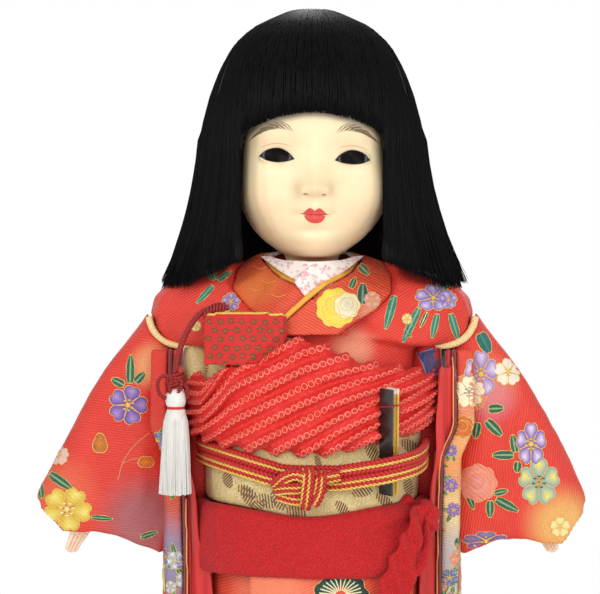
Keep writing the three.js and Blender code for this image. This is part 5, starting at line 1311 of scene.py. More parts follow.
# %% Leaves woven into the brocade
BROWN, RUST = (118, 82, 50), (150, 104, 58)
OBI_LEAVES = (  # across, down, length, width and turn
    (222, 352, 15, 7, 0.6), (200, 372, 13, 6, 2.2), (247, 492, 13, 6, 0.4), (258, 505, 12, 5, -0.5),
    (278, 500, 14, 6, 0.9), (296, 512, 13, 6, 0.2), (228, 480, 10, 5, 1.1), (362, 492, 13, 5, -0.3),
    (384, 500, 12, 5, 0.5), (408, 486, 11, 5, 1.3), (372, 452, 12, 6, 0.8), (248, 496, 13, 6, 0.9),
    (266, 501, 13, 7, 0.2), (282, 491, 11, 6, -0.5), (384, 462, 9, 5, -0.6), (410, 446, 12, 6, 0.3),
    (262, 468, 12, 4, 1.0), (342, 508, 11, 5, 0.7), (318, 462, 9, 3, 1.2))


def hatched_leaf(sheet, x, z, long, wide, turn):
    """A leaf woven as a row of slanting stitches."""
    axis, side = np.array((math.cos(turn), math.sin(turn))), np.array((-math.sin(turn), math.cos(turn)))
    for k in np.linspace(-0.85, 0.85, 7):
        half = wide * math.sqrt(1 - k * k)
        middle = np.array((x, z)) + axis * long * 0.8 * k
        ends = [middle + side * half * t + axis * half * 0.35 * t for t in (-1, 0, 1)]
        sheet.stroke(ends, 1.4, BROWN if k > -0.3 else RUST, 0.14)


woven_leaves = Drawing()
for leaf in OBI_LEAVES:
    hatched_leaf(woven_leaves, *leaf)
woven_leaves.laid_on_both(obi, "obi_leaves", "body")
print(len(OBI_LEAVES), "leaves woven")

# %% [markdown]
# ## The tie-dyed sash
# Over the obi lies a red silk sash, tie-dyed all over: each tiny knot leaves a raised dot with a pale ring.
# It is gathered in pleats that climb to the doll's left. Points are numbered along the pleats and across
# them, and these two numbers do two jobs: they push the skin out into pleats and dots, and the finish draws
# the rings from them.

# %% Pleats, dots and rings
PLEATS, DOT_PITCH, CLIMB = 7, 2.9, 0.44
ROW_PITCH = 6.2 * math.cos(CLIMB)
ODD_SHIFT = 1.5  # every other row of dots stands in the gaps of the last
SASH_TURNS = (-1.72, -1.0, -0.62, -0.1, 0.55, 1.72)
SASH_TOPS = (276.1, 280.8, 289, 288, 278.8, 273)
NOTCH_TURNS, NOTCH_TOPS = (-1.72, -1.3, -0.98, -0.86, -0.66), (276, 276, 270.5, 276, 290)
SASH_LOW_TURNS, SASH_LOWS = (-1.72, -0.6, 0, 0.7, 1.72), (248.9, 242.8, 241.4, 246.8, 255)


def sash_edges(turn):
    return (np.interp(turn, SASH_LOW_TURNS, SASH_LOWS), np.interp(turn, SASH_TURNS, SASH_TOPS),
            np.interp(turn, NOTCH_TURNS, NOTCH_TOPS))


def drawn_down(places, normals):
    """The upper edge dips under the pouch, where the obi shows."""
    low, high, notch = sash_edges(turn_from_front(places))
    places[:, 2] = low + (places[:, 2] - low) * (np.minimum(high, notch) - low) / (high - low)
    return places


def sash_numbers(places):
    turn = turn_from_front(places)
    low, high, notch = sash_edges(turn)
    high = np.minimum(high, notch)
    rib = PLEATS * (places[:, 2] - low) / (high - low) - 3.9 * turn + 20
    arc = np.hypot(places[:, 0], places[:, 1] - MIDDLE_Y) * turn
    run = arc * math.cos(CLIMB) + (places[:, 2] - low) * math.sin(CLIMB) + 300
    return rib, run


def gather(places, normals):
    rib, run = sash_numbers(places)
    crest = -np.cos(2 * math.pi * rib)
    across = (rib % 1 - 0.5) * ROW_PITCH
    along = ((run + ODD_SHIFT * (np.floor(rib) % 2)) / DOT_PITCH % 1 - 0.5) * DOT_PITCH
    dot = np.exp(-(across ** 2 + along ** 2) / 1.1)
    return places + normals * (0.95 * crest + 0.8 * dot)[:, None]


sash_mesh = shape_points(shape_points(soft_skin(["obiage"], 0.62, 22), drawn_down), gather)
rib, run = sash_numbers(per_vertex(sash_mesh, "co") / MM)
keep_numbers(sash_mesh, rib=rib, run=run)
tie_dye = Finish("red tie-dyed silk", Roughness=0.6, Sheen_Weight=0.05)
rib_number, run_number = tie_dye.attribute("rib", "Fac"), tie_dye.attribute("run", "Fac")
across = tie_dye.times(tie_dye.math("SUBTRACT", tie_dye.math("FRACT", rib_number), 0.5), ROW_PITCH)
odd = tie_dye.times(tie_dye.math("FLOORED_MODULO", tie_dye.math("FLOOR", rib_number), 2.0), ODD_SHIFT)
cell = tie_dye.math("FRACT", tie_dye.math("DIVIDE", tie_dye.math("ADD", run_number, odd), DOT_PITCH))
along = tie_dye.times(tie_dye.math("SUBTRACT", cell, 0.5), DOT_PITCH)
away = tie_dye.math("SQRT", tie_dye.math("ADD", tie_dye.times(across, across), tie_dye.times(along, along)))
away = tie_dye.math("ADD", away, tie_dye.times(tie_dye.math("SUBTRACT", tie_dye.noise(1.0, 2), 0.5), 0.5))
ring = tie_dye.times(tie_dye.step(away, 0.8, 1.05), tie_dye.step(away, 1.1, 1.35, 1.0, 0.0))
red = tie_dye.mix(tie_dye.noise(3, 3), rgb(200, 14, 14), rgb(234, 40, 30))
red = tie_dye.mix(tie_dye.step(tie_dye.cells(1.3), 0.22, 0.4, 0.35, 0.0), red, rgb(240, 96, 80))
tie_dye.link(Base_Color=tie_dye.mix(tie_dye.times(ring, 0.66), red, rgb(255, 178, 146)))
tie_dye.bump(tie_dye.math("ADD", tie_dye.noise(0.35, 2), tie_dye.cells(1.2)), 0.2)
obiage = piece_from("obiage_silk", sash_mesh, tie_dye, "body")
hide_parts("obiage")
print("sash", len(sash_mesh.polygons), "faces")

# %% [markdown]
# ## The braided cord
# A flat silk braid holds the obi: rows of plump red stitches with beaded gold lines between them. A striped
# band would stay flat, so every row is a real two-ply twist, and rows twisted in opposite directions side by
# side make the arrow pattern of a braid. They follow the middle lines of the solid braids.

# %% Rows of stitches along a line
braid_red = mottled("red braid silk", (0.8, 3), (152, 10, 14), (210, 30, 28), (0.2, 2, 0.06),
                    Roughness=0.45, Sheen_Weight=0.05)
braid_gold = mottled("gold braid thread", (0.6, 3), (196, 142, 46), (252, 222, 120), (0.15, 2, 0.05),
                     Roughness=0.34, Metallic=0.45)
RED_ROWS = {"upper": ((1.55, 3.6), (-1.2, -3.6)), "lower": ((1.2, 3.6), (-1.3, -3.6))}
GOLD_ROWS = {"upper": (0.3,), "lower": (0.0, -2.3)}


def middle_of(node):
    """The middle line of a solid band round the doll: its corners grouped by angle and averaged."""
    bm = bmesh.new()
    bm.from_mesh(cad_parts[node].data)
    bmesh.ops.remove_doubles(bm, verts=bm.verts, dist=MERGE)
    points = np.array([v.co for v in bm.verts]) / MM
    bm.free()
    turn = turn_from_front(points) % (2 * math.pi)
    order = np.argsort(turn)
    groups = np.split(order, np.flatnonzero(np.diff(turn[order]) > 0.06) + 1)
    middles = [(points[g].min(0) + points[g].max(0)) / 2 for g in groups]
    return np.array([*middles, middles[0]])


def thinned(places, normals):
    return places - normals * 0.7


for row in ("upper", "lower"):
    line = smooth_line(middle_of("obijime_" + row), 620)
    outward = (line - (0, MIDDLE_Y, 0)) * (1, 1, 0)
    outward /= np.linalg.norm(outward, axis=1)[:, None]
    stitches = [p for shift, pitch in RED_ROWS[row] for p in plies(line + (0, 0, shift), 0.62, pitch, 2)]
    core = shape_points(soft_skin(["obijime_" + row], 0.9, 3), thinned)
    braid = piece_from("obijime_red_" + row, joined(round_lines(stitches, 0.82, 1), core), braid_red,
                       "body")
    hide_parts("obijime_" + row)
    beads = [p for shift in GOLD_ROWS[row] for p in plies(line + outward * 0.8 + (0, 0, shift), 0.38, 3.8, 2)]
    piece_from("obijime_gold_" + row, round_lines(beads, 0.46, 0), braid_gold, "body")
    print("braid", row, round(line_length(line)), "mm")

# %% The knot in front
KNOT_LINES = (  # where each strand of the knot goes, and its number of points
    ([(-15.6, -47.4, 229.6), (-11.6, -50.6, 233.4), (-6.6, -51.8, 235), (-2, -51.8, 233), (1.6, -51.2, 230),
      (4, -49.6, 227.2)], 130),
    ([(-15, -47.2, 228.6), (-10.5, -50.2, 229.4), (-5.6, -51.2, 229.6), (-1, -51.6, 231), (3.6, -51.2, 233.2),
      (10.5, -50.2, 234.6)], 130),
    ([(-13.4, -47.6, 226.4), (-8.4, -50, 225.2), (-3.4, -50.8, 224.8)], 60),
    ([(-1.6, -48.6, 237.2), (-1.2, -52.4, 234.8), (-1.8, -53.6, 229), (-2.6, -52.6, 223.4),
      (-3, -49.6, 221.4)], 90),
    ([(3.4, -48.4, 236), (3.6, -52, 232.8), (2.6, -52.8, 227.4), (0.4, -51.6, 223)], 80))
reds, golds = [], []
for points, count in KNOT_LINES:
    line = smooth_line(points, count)
    along = np.gradient(line, axis=0)
    across = np.cross(along, (0, -1.0, 0))
    across /= np.linalg.norm(across, axis=1)[:, None]
    for shift, pitch in ((1.05, 3.4), (-1.05, -3.4)):
        reds += plies(line + across * shift, 0.55, pitch, 2)
    for shift, forward in ((2.0, 0.4), (0.0, 0.7)):
        golds += plies(line + across * shift - (0, forward, 0), 0.34, 3.6, 2)
knot_red = piece_from("obijime_knot_red", round_lines(reds, 0.74, 1), braid_red, "body")
piece_from("obijime_knot_gold", round_lines(golds, 0.42, 0), braid_gold, "body")
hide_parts("obijime_knot")
print("knot tied")

# %% [markdown]
# ## Cloth under the arms
# Between the obi and the hanging sleeve ends the open sides of the kimono show: a corner of the obi at the
# doll's right, a dark blue fold at its left, red cloth below. Rounded cloth fills these sides, so that no
# light comes through between body and sleeve.

# %% Rounded cloth at the sides
def rounded_cloth(middle, half, sign, seed):
    bm = bmesh.new()
    bmesh.ops.create_icosphere(bm, subdivisions=5, radius=1)
    for v in bm.verts:
        full = [math.copysign(abs(c) ** 0.72, c) for c in v.co]
        v.co = Vector((np.multiply(middle, (sign, 1, 1)) + np.multiply(half, full)) * MM)
    bmesh.ops.recalc_face_normals(bm, faces=bm.faces)
    return shape_points(mesh_of(bm, "side_cloth"), creases(0.5, 8, seed))


# A darker red than the kimono crepe: painted shade on the cloth deep between body and sleeve.
shaded_side_crepe = crepe("underarm crepe", 0.3, dark=(150, 16, 18), light=(196, 36, 32), pitch=1.0)
for side, sign in SIDES:
    piece_from("side_cloth_" + side, rounded_cloth((47, -5, 246), (5.6, 14, 27), sign, 46), shaded_side_crepe,
               "body")
UNDER_ARM = (47.4, -8, 273), (6, 17, 18)
piece_from("obi_corner_right", rounded_cloth(*UNDER_ARM, -1, 44), obi_brocade, "body")
fold = piece_from("side_fold_left", rounded_cloth(*UNDER_ARM, 1, 45), shaded_side_crepe, "body")
blue_fold = Drawing()
blue_fold.outlined([(418, 354), (432, 350), (448, 349), (447, 366), (438, 372), (428, 378), (424, 364)],
                   (66, 52, 92), (38, 40, 92), 0.2, 1.6, (92, 120, 170))
blue_fold.laid_on(surface_of(fold), "side_fold_print", "body")
print("side cloth laid")

# %% [markdown]
# ## The crepe sash
# Below the obi a soft scarlet sash goes round the waist and is tied at the doll's left hip, where one loop
# and one long tail hang down. Its crepe is pebbled all over, with painted shade in the hollows between the
# pebbles. Folds gather towards the knot, so the push that makes them depends on the direction from the knot,
# like the spokes of a wheel, and it fades out along the sash.

# %% Scarlet crepe and the band round the waist
scarlet = Finish("scarlet pebbled crepe", Roughness=0.75, Sheen_Weight=0.05, Sheen_Roughness=0.5)
pebble = scarlet.cells(0.6, scarlet.mapped((1, 1, 0.75)))
# Painted shade: the red is darker in the hollows between the pebbles, where the bump is low, and brighter on
# their tops.
scarlet.link(Base_Color=scarlet.mix(scarlet.step(pebble, 0.1, 0.75), rgb(220, 14, 22), rgb(178, 4, 10)))
scarlet.bump(scarlet.math("SUBTRACT", scarlet.noise(0.5, 2), scarlet.times(pebble, 1.2)), 0.35)
KNOT_TURN, KNOT_Z = 1.0, 215


def wrap_folds(places, normals):
    turn = turn_from_front(places)
    run = np.abs(KNOT_TURN - turn) * 46
    spoke = np.arctan2(places[:, 2] - KNOT_Z, run + 5)
    folds = np.sin(spoke * 9 + 0.6) * np.exp(-run / 26) * 1.3 + 0.3 * fine_noise(places * (1, 1, 3.0), 13, 51)
    out = places + normals * (folds + 0.9)[:, None]
    upper = np.clip((places[:, 2] - 200) / 18, 0, 1)
    out[:, 2] += upper * (2.6 * np.exp(-run / 14) - 4.2 * np.exp(-(turn / 0.62) ** 2))
    return out


band = cover("shigoki_band_crepe", "shigoki_band", (1.0, 6), scarlet, "body", "crepe", wrap_folds)
print("sash band", len(band.data.polygons), "faces")

# %% Knot, loop and tail
def drawn_in(places, normals):
    rise = np.clip((places[:, 2] - 150) / 60, 0, 1)
    ridge = np.sin((places[:, 0] + 0.28 * places[:, 2]) * 0.95) * (0.35 + 0.75 * rise)
    return places + normals * (ridge + 0.4 * fine_noise(places * (1, 1, 0.4), 9, 61))[:, None]


tail_inner = [(41, -38, 222), (38, -44.6, 214), (33, -47, 205), (27.6, -48, 194), (24.6, -48.4, 184),
              (23.4, -48.6, 160), (24, -48.8, 130), (25, -48.8, 104)]
tail_outer = [(46, -36, 221), (43.6, -43, 212), (42, -46, 204), (40.6, -47, 195), (38.6, -47, 184),
              (38, -46.6, 160), (39, -46, 130), (40, -45.6, 104)]
tail_mesh = shape_points(strip(tail_inner, tail_outer, 1.4, 60, 16), drawn_in)
tail = piece_from("shigoki_tail_crepe", tail_mesh, scarlet, "body")
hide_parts("shigoki_tail_long")


def knot_folds(places, normals):
    return places + normals * (0.9 + 0.7 * np.sin(places[:, 2] * 1.1 + places[:, 0] * 0.9))[:, None]


cover("shigoki_knot_crepe", "shigoki_knot", (0.6, 5), scarlet, "body", "crepe", knot_folds)
loop_front = [(44.6, -39, 217), (41.6, -44.6, 209), (38.6, -47.2, 200), (40.6, -48.6, 194.4),
              (44.4, -47.2, 197), (46.4, -43.6, 206), (46.4, -38.6, 216)]
loop_back = [(43.6, -37, 219), (37.6, -42.4, 211), (32.6, -45.6, 202), (35.6, -46.8, 196), (41.4, -44.8, 199),
             (44.4, -41, 208), (45.4, -37, 218)]
loop = piece_from("shigoki_loop_crepe", strip(loop_front, loop_back, 1.1, 44, 6), scarlet, "body")
print("loop", round(line_length(smooth_line(loop_front, 44))), "mm of crepe")

# %% [markdown]
# ## The pouch
# A flat silk case is tucked in at the breast. It is stiffened with card, so it is a softly rounded tablet
# rather than a full cushion. Small olive blossoms cover it in staggered rows and a gold cord runs along its
# mouth.

# %% Pouch, its blossoms and the gold mouth
pouch_silk = mottled("scarlet pouch silk", (7, 3), (206, 24, 26), (232, 48, 40),
                     Roughness=0.6, Sheen_Weight=0.05)
pouch_silk.bump(pouch_silk.math("ADD", pouch_silk.wave(0.45, "Z", 0.8), pouch_silk.noise(0.3, 2)), 0.12)


def tucked(places, normals):
    """The lower corner towards the middle goes in behind the tie-dyed sash."""
    below = ((places[:, 0] + 31.5) * 18.7 - (places[:, 2] - 274.5) * 21.8) / 28.7
    places[:, 1] += 1.25 * np.clip(below, 0, 9)
    return places


pouch = cover("pouch_silk", "pouch", (0.6, 10), pouch_silk, "body", "gold_silk", creases(0.3, 8, 71), tucked)
small_blossoms = Drawing()
OLIVE, DARK_OLIVE = (112, 96, 36), (70, 62, 24)
for row, down in enumerate(np.arange(322, 372, 8.6)):
    for across in np.arange(209 + 5.4 * (row % 2), 296, 11.2):
        x, z = across + chance.uniform(-1, 1), down + chance.uniform(-1, 1)
        for a in chance.uniform(0, 1.2) + circle(5):
            petal = dot((x + 2.5 * math.sin(a), z - 2.5 * math.cos(a)), 1.5)
            small_blossoms.shape(petal, OLIVE, DARK_OLIVE, 0.12)
        small_blossoms.shape(dot((x, z), 1), (196, 156, 60), OLIVE, 0.2)
small_blossoms.laid_on(surface_of(pouch), "pouch_blossoms", "body")
print("pouch", len(pouch.data.polygons), "faces")

# %% Gold cord on the mouth
pouch_tree = surface_of(pouch)
highest = []
for x in -43.2 + 33 * np.linspace(0.03, 0.97, 30):
    for z in np.linspace(305, 270, 70):
        hit = pouch_tree.ray_cast(Vector((x, -90, z)) * MM, BACKWARDS)[0]
        if hit:
            highest.append(np.array(hit) / MM + (0, 0.1, 0.15))
            break
mouth = smooth_line(highest, 160)
mouth_mesh = round_lines(plies(mouth, 0.34, 1.6, 2), 0.42, 0)
piece_from("pouch_mouth_cord", mouth_mesh, braid_gold, "body")
print("mouth cord", round(line_length(mouth)), "mm")

# %% [markdown]
# ## The fan
# A folded fan stands in the obi: a black lacquered guard, a gilt one behind, and between them the folds of
# gilt paper, seen edge on. The guards are right as solids and only need their finish. The leaf is rebuilt as
# a stack of thin folds, every other one a little shorter, so that the edge has real lines in it.

# %% Lacquer, gilt paper and folds
def dress(node, finish):
    """A solid that stays as it is gets its finish."""
    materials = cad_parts[node].data.materials
    materials.clear()
    materials.append(finish.material)


lacquer = Finish("black lacquer", Roughness=0.22, Coat_Weight=0.6, Coat_Roughness=0.08)
brushed = lacquer.noise(5, 4, lacquer.mapped((4, 4, 0.6)))
lacquer.link(Base_Color=lacquer.mix(brushed, rgb(10, 8, 8), rgb(30, 24, 22)))
lacquer.bump(lacquer.noise(2, 3, lacquer.mapped((3, 3, 0.3))), 0.03)
gilt = Finish("gilt folded paper", Roughness=0.36, Metallic=0.5)
gilt_tone = gilt.mix(gilt.noise(0.9, 3), rgb(206, 158, 48), rgb(250, 220, 116))
gilt.link(Base_Color=gilt.mix(gilt.step(gilt.split()["Z"], 0.2655, 0.2668), gilt_tone, rgb(246, 242, 230)))
gilt.bump(gilt.noise(0.4, 3), 0.06)
dress("fan_guard_outer", lacquer)
dress("fan_guard_inner", gilt)
corners = np.array([v.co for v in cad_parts["fan_leaf"].data.vertices]) / MM
leaf_middle = (corners.min(0) + corners.max(0)) / 2
FAN_LEAN, FAN_TURN = math.radians(9), -0.75
FAN_UP = np.array((0, -math.sin(FAN_LEAN), math.cos(FAN_LEAN)))
FAN_OUT = np.array((math.cos(FAN_TURN), math.sin(FAN_TURN) * FAN_UP[2], math.sin(FAN_TURN) * -FAN_UP[1]))
FAN_STACK = np.cross(FAN_UP, FAN_OUT)
reach = [np.ptp(corners @ axis) / 2 for axis in (FAN_OUT, FAN_STACK, FAN_UP)]
FAN_FOLDS = 9
bm = bmesh.new()
for k in range(FAN_FOLDS):
    fold = bmesh.ops.create_cube(bm, size=1)["verts"]
    depth = reach[0] * (1.0 if k % 2 else 0.93)
    edges = list({e for v in fold for e in v.link_edges})
    for v in fold:
        out, up = v.co.x * 2 * depth, v.co.z * 2 * reach[2]
        stack = (k - FAN_FOLDS // 2 + v.co.y * 0.72) * 2 * reach[1] / FAN_FOLDS
        v.co = Vector((leaf_middle + FAN_OUT * out + FAN_STACK * stack + FAN_UP * up) * MM)
    bmesh.ops.bevel(bm, geom=edges, offset=0.04 * MM, affect="EDGES", segments=1, profile=0.5, material=-1)
leaf = piece_from("fan_folds", mesh_of(bm, "fan_folds"), gilt, "fan", smooth=False)
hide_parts("fan_leaf")
print(FAN_FOLDS, "folds, reach", [round(float(r), 2) for r in reach], "mm")

# %% A thread round the fan
thread_silk = mottled("dark red thread", (0.4, 2), (140, 12, 22), (190, 34, 36), (0.15, 2, 0.03), Roughness=0.5)
ring_centre = leaf_middle + FAN_UP * (reach[2] - 6.5)
rim = []
for a in circle(60):
    c, s = math.cos(a), math.sin(a)
    square = (abs(c) ** 8 + abs(s) ** 8) ** (-1 / 8)
    out, stack = c * square * (reach[0] + 0.75), s * square * (reach[1] + 1.2)
    rim.append(ring_centre + FAN_OUT * out + FAN_STACK * stack + FAN_UP * (0.7 * c))
piece_from("fan_thread", round_lines([np.array(rim)], 0.3, 1, closed=True), thread_silk, "fan")
print("thread tied")

# %% [markdown]
# ## The bow behind
# The obi is tied behind in a plump drum: two loops, a band across and a tail. They are the same brocade,
# padded out by the cloth inside, so each keeps the full form of its solid with a soft skin and shallow folds.

# %% Bow loops, band and tail
bow = []
for node, seed in (("bow_loop_left", 81), ("bow_loop_right", 82), ("bow_wrap", 83), ("bow_tail", 84)):
    bow.append(cover(node + "_brocade", node, (0.9, 7), obi_brocade, "body", "brocade",
                     creases(0.45, 10, seed)))
    print(node, len(bow[-1].data.polygons), "faces")
bow_leaves = Drawing()
for x, z, turn in ((232, 372, 0.6), (256, 398, -0.4), (236, 428, 1.2), (344, 374, -0.7), (366, 402, 0.3),
                   (348, 430, -1.1), (300, 382, 0.9), (306, 424, -0.6), (294, 486, 0.4), (312, 520, -0.8),
                   (288, 552, 1.0), (318, 566, 0.2)):
    hatched_leaf(bow_leaves, x, z, 12, 7, turn)
bow_leaves.laid_on(surface_of(*bow), "bow_leaves", "body", from_behind)

# %% [markdown]
# ## Skirt
# Below the sash the kimono closes left over right and falls straight to the feet, ending in a padded roll
# that shows the red lining. The outer cloth gets shallow upright folds that deepen towards the hem, and a
# print of pine, peonies and blossoms. The drawing is laid on from all round the doll, because the skirt is
# seen from every side.

# %% Skirt, overlap, hem and underskirt
skirt_crepe = crepe("skirt crepe", 0.42, dark=(206, 50, 34), light=(238, 86, 56), pitch=1.15, tints=[
    ((-16, -46, 186), 26, (246, 150, 110), 0.6), ((30, -44, 110), 40, (244, 170, 110), 0.45),
    ((-40, -20, 60), 40, (214, 120, 130), 0.45), ((0, 40, 80), 46, (240, 170, 120), 0.4)])


def upright_folds(places, normals):
    turn, height = turn_from_front(places), places[:, 2]
    fall = np.clip((200 - height) / 170, 0, 1)
    folds = np.sin(turn * 7 + 0.8 * np.sin(height / 40)) * 0.55 + 0.3 * np.sin(turn * 17 + height / 60)
    return places + normals * (folds * (0.25 + fall) + 0.2 * fine_noise(places * (1, 1, 0.4), 14, 91))[:, None]


skirt = cover("skirt_cloth", "kimono_skirt", (1.5, 6), skirt_crepe, "body", "kimono", upright_folds)
overlap = cover("overlap_cloth", "front_overlap", (1.0, 5), skirt_crepe, "body", "kimono", upright_folds)
hem = cover("hem_roll_silk", "hem_roll", (0.9, 6), red_lining, "body", "lining", creases(0.3, 9, 95))
under = cover("underskirt_silk", "underskirt", (1.2, 4), pale_silk, "body", "pale_silk")
print("skirt", len(skirt.data.polygons), "faces")

# %% Print round the skirt
PINES = (334, 592, 26), (262, 706, 34), (560, 760, 36), (40, 740, 36)  # across, down and size, as below
PEONIES = (
    (236, 660, 24, BUTTER), (352, 690, 27, BLUSH), (300, 790, 30, BUTTER), (392, 800, 25, VIOLET),
    (480, 700, 28, BLUSH), (620, 840, 30, BUTTER), (140, 820, 28, BLUSH), (60, 860, 26, BUTTER),
    (540, 880, 26, VIOLET), (-40, 820, 28, BLUSH), (200, 900, 30, VIOLET), (340, 915, 30, BLUSH),
    (650, 700, 26, VIOLET), (-60, 690, 24, BUTTER), (590, 640, 22, BLUSH), (0, 640, 24, BLUSH),
    (682, 905, 28, BLUSH))
BLOSSOMS = (
    (312, 742, 13, VIOLET), (228, 770, 14, FROST), (404, 730, 12, SNOW), (440, 840, 15, VIOLET),
    (260, 850, 13, BLUSH), (510, 790, 14, FROST), (90, 900, 14, VIOLET), (170, 740, 13, SNOW),
    (400, 900, 13, FROST), (300, 640, 10, SNOW), (600, 930, 14, BLUSH), (-20, 920, 13, VIOLET),
    (640, 772, 13, FROST), (-82, 764, 13, VIOLET), (16, 786, 12, SNOW), (680, 622, 13, SNOW),
    (556, 690, 12, VIOLET))


def pine(sheet, x, z, size):
    """A rounded pine crown: a dark half disc with pale rays and a scalloped gold rim."""
    def on_crown(a, wide, high):
        return x + size * wide * math.cos(a), z - size * high * math.sin(a)

    rim = []
    for a in np.linspace(-0.35, math.pi + 0.35, 34):
        scallop = 1 + 0.06 * math.cos(9 * a)
        rim.append(on_crown(a, 1.25 * scallop, 0.8 * scallop))
    sheet.outlined(rim, (40, 92, 74), (16, 44, 40), 0.16, 1.2)
    for a in np.linspace(0.12, math.pi - 0.12, 13):
        ray = [on_crown(a, wide, high) for wide, high in ((0.25, 0.16), (0.6, 0.4), (1, 0.64))]
        sheet.stroke(ray, 1.3, (232, 226, 180), 0.24)


skirt_print = Drawing()
for crown in PINES:
    pine(skirt_print, *crown)
for x, z, size, dyes in PEONIES:
    skirt_print.peony((x, z), size, *dyes)
    for k in range(4):
        way = np.array((math.cos(k * 1.7 + x), math.sin(k * 1.7 + x))) * size
        root = np.array((x, z)) + way * 0.95
        skirt_print.leaf(root, root + way * 0.8, size * 0.16)
for x, z, size, dyes in BLOSSOMS:
    skirt_print.blossom((x, z), size, *dyes, turn=0.3 * x)
skirt_print.laid_on(surface_of(skirt, overlap), "skirt_print", "body", from_round)
print("skirt printed")

# %% [markdown]
# ## Long sleeve ends
# The hanging ends of the sleeves carry their own print: on the doll's left cream with violets and green
# leaves, on its right grey-blue. Two fine cords, lilac and apricot, pipe the plum band.

# %% Print on the sleeve ends
def meadow(sheet, left, right, top, bottom, count, colours):
    for _ in range(count):
        x, z = chance.uniform(left, right), chance.uniform(top, bottom)
        size = chance.uniform(4.5, 9.5)
        middle, edge = colours[int(chance.integers(len(colours)))]
        a = chance.uniform(0, 6.28)
        for turn in (a, a + 1.1):
            tip = (x + math.cos(turn) * size * 2.1, z + math.sin(turn) * size * 2.1)
            sheet.leaf((x, z), tip, size * 0.26, PALE_GREEN, GREEN if turn == a else TEAL)
        sheet.blossom((x, z), size, middle, edge, turn=a)


SKY, SLATE = (132, 158, 190), (78, 92, 150)
END_DYES = {"left": [VIOLET, (WHITE, PURPLE), (SKY, SLATE), BLUSH],
            "right": [(SKY, SLATE), VIOLET, (WHITE, SKY)]}
END_FRONTS = {"left": (428, 462), "right": (150, 186)}
END_PEONIES = {"left": BLUSH, "right": BUTTER}
for side, sign in SIDES:
    cloth = surface_of(drops[side])
    narrow = Drawing()
    meadow(narrow, *END_FRONTS[side], 440, 900, 60, END_DYES[side])
    narrow.laid_on(cloth, "sleeve_end_print_" + side, "arm_" + side)
    broad = Drawing()
    meadow(broad, 222, 345, 470, 900, 30, END_DYES[side])
    for x, z, size in ((262, 590, 17), (318, 690, 19), (258, 770, 20), (316, 840, 17)):
        broad.peony((x, z), size, *END_PEONIES[side])
    broad.laid_on(cloth, "sleeve_end_side_print_" + side, "arm_" + side, from_side(sign))
print("sleeve ends printed")

# %% Piping on the plum band
lilac_cord = mottled("lilac piping", (0.8, 2), (116, 74, 120), (170, 130, 176), (0.2, 2, 0.04), Roughness=0.5)
apricot_cord = mottled("apricot piping", (0.8, 2), (214, 120, 66), (244, 190, 120), (0.2, 2, 0.04),
                       Roughness=0.5)
for side, sign in SIDES:
    tree = surface_of(trims[side])
    inner, outer = [], []
    for z in np.linspace(70, 280 if side == "left" else 222, 48):
        hits = [tree.ray_cast(Vector((sign * x, -90, z)) * MM, BACKWARDS)[0] for x in np.arange(47, 64, 0.25)]
        hits = [np.array(hit) / MM for hit in hits if hit and hit.y < -18 * MM]
        if hits:
            inner.append(hits[0] + (-sign * 0.2, 0.1, 0))
            outer.append(hits[-1] + (-sign * 0.3, 0.1, 0))
    for name, line, finish, slot in (("gold", inner, apricot_cord, "gold_silk"),
                                     ("lilac", outer, lilac_cord, "plum")):
        piping = round_lines([smooth_line(line, 140)], 0.36, 1)
        piece_from(f"piping_{name}_{side}", piping, finish, "arm_" + side)
print("piping laid")

# %% [markdown]
# ## Hands, feet and what lies beneath
# Hands and feet are small: the hands are white like the face, the feet wear white split-toed socks and
# sandals with crepe thongs. The limbs, the trunk and its padding are hidden, but they get wood, paste and
# cotton all the same.

# %% Hands and socks
def turn_palm(sign):
    """The hand turns its palm to the front and bends in a little at the wrist, so that its fingers show."""
    def move(places, normals):
        top = places[places[:, 2] > places[:, 2].max() - 4].mean(0)
        way = places[places[:, 2] < places[:, 2].min() + 5].mean(0) - top
        way /= np.linalg.norm(way)
        along = (places - top) @ way
        off = places - top - along[:, None] * way
        bend = ease(along, 33, 42)
        turn = (bend * math.radians(-42) * sign)[:, None]
        off = off * np.cos(turn) + np.cross(way, off) * np.sin(turn)
        off *= (1 - 0.4 * ease(along, 40, 58))[:, None]
        moved = top + np.where(along > 36, 36 + (along - 36) * 0.9, along)[:, None] * way + off
        moved[:, 0] -= sign * 3.5 * bend ** 2
        return moved
    return move


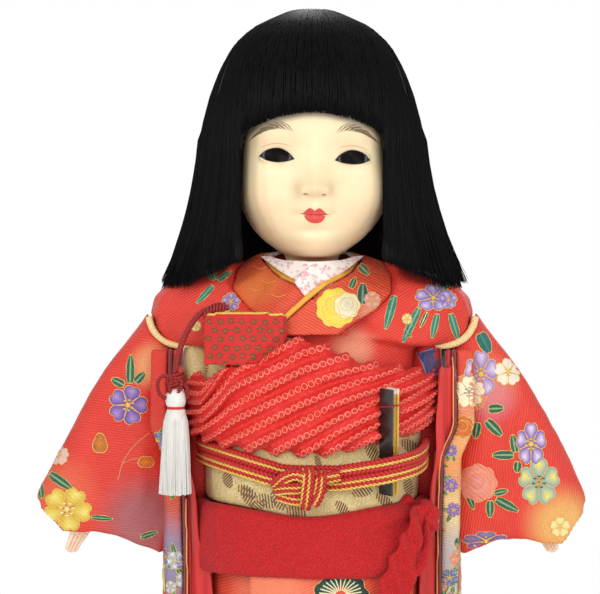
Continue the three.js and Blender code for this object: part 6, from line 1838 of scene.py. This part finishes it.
hand_white = mottled("hand white", (6, 3), (246, 208, 176), (252, 228, 196), (2, 2, 0.01),
                     Roughness=0.45, Subsurface_Weight=0.05, Subsurface_Scale=0.001)
sock_cotton = mottled("white sock cotton", (3, 3), (226, 222, 212), (246, 244, 238),
                      Roughness=0.8, Sheen_Weight=0.3)
weave = sock_cotton.math("ADD", sock_cotton.wave(0.4, "X", 0.5), sock_cotton.wave(0.4, "Z", 0.5))
sock_cotton.bump(weave, 0.08)
for side, sign in SIDES:
    cover("hand_" + side, "forearm_" + side, (0.34, 7), hand_white, "arm_" + side, "skin", turn_palm(sign))
for side, _ in SIDES:
    cover("sock_" + side, "foot_" + side, (0.6, 4), sock_cotton, "body", "sock")
print("hands and feet covered")

# %% Materials of the solids that stay
wood = Finish("pale paulownia wood", Roughness=0.62)
grain = wood.noise(3, 5, wood.mapped((1, 1, 0.12)), distort=1.0)
wood.link(Base_Color=wood.mix(grain, rgb(168, 122, 78), rgb(214, 176, 126)))
wood.bump(grain, 0.12)
composition = mottled("pressed sawdust paste", (1.5, 5), (196, 164, 130), (226, 200, 168), (0.8, 4, 0.2),
                      Roughness=0.85)
cotton = mottled("cotton wadding", (4, 5), (224, 216, 200), (244, 240, 230), (1.6, 5, 0.6),
                 Roughness=0.95, Sheen_Weight=0.4)
straw = Finish("woven sandal sole", Roughness=0.7)
plait = straw.times(straw.wave(1.4, "X", 0.4), straw.wave(1.4, "Y", 0.4))
straw.link(Base_Color=straw.mix(plait, rgb(170, 126, 62), rgb(228, 192, 120)))
straw.bump(plait, 0.3)
dress("torso", composition)
dress("neck_peg", wood)
for side, _ in SIDES:
    for limb, finish in (("thigh_", wood), ("shin_", composition), ("upper_arm_", wood),
                         ("sandal_sole_", straw), ("sandal_strap_", scarlet)):
        dress(limb + side, finish)
wadding = cover("wadding_cotton", "wadding", (1.8, 6), cotton, "body", "cotton", creases(0.5, 12, 99))
print("inner solids dressed")

# %% [markdown]
# ## Cloth and stuffing
# Sleeves and sleeve ends are lined bags with a thin layer of wadding, only a little filled.

# %% Dressing done
print("dressing done")

# %% [markdown]
# ## The floor
# The doll stands on a plain pale floor, which the photograph doesn't show. It is a faintly clouded disc.

# %% A pale disc under the sandals
floor_finish = mottled("pale floor", (30, 3), (236, 236, 234), (242, 242, 240), Roughness=0.7)
bm = bmesh.new()
bmesh.ops.create_circle(bm, cap_ends=True, radius=0.9, segments=96)
bmesh.ops.translate(bm, verts=bm.verts, vec=(0, 0, -0.0004))
floor_mesh = mesh_of(bm, "floor")
floor_mesh.materials.append(floor_finish.material)
floor = bpy.data.objects.new("floor", floor_mesh)
scene.collection.objects.link(floor)
print("floor set")
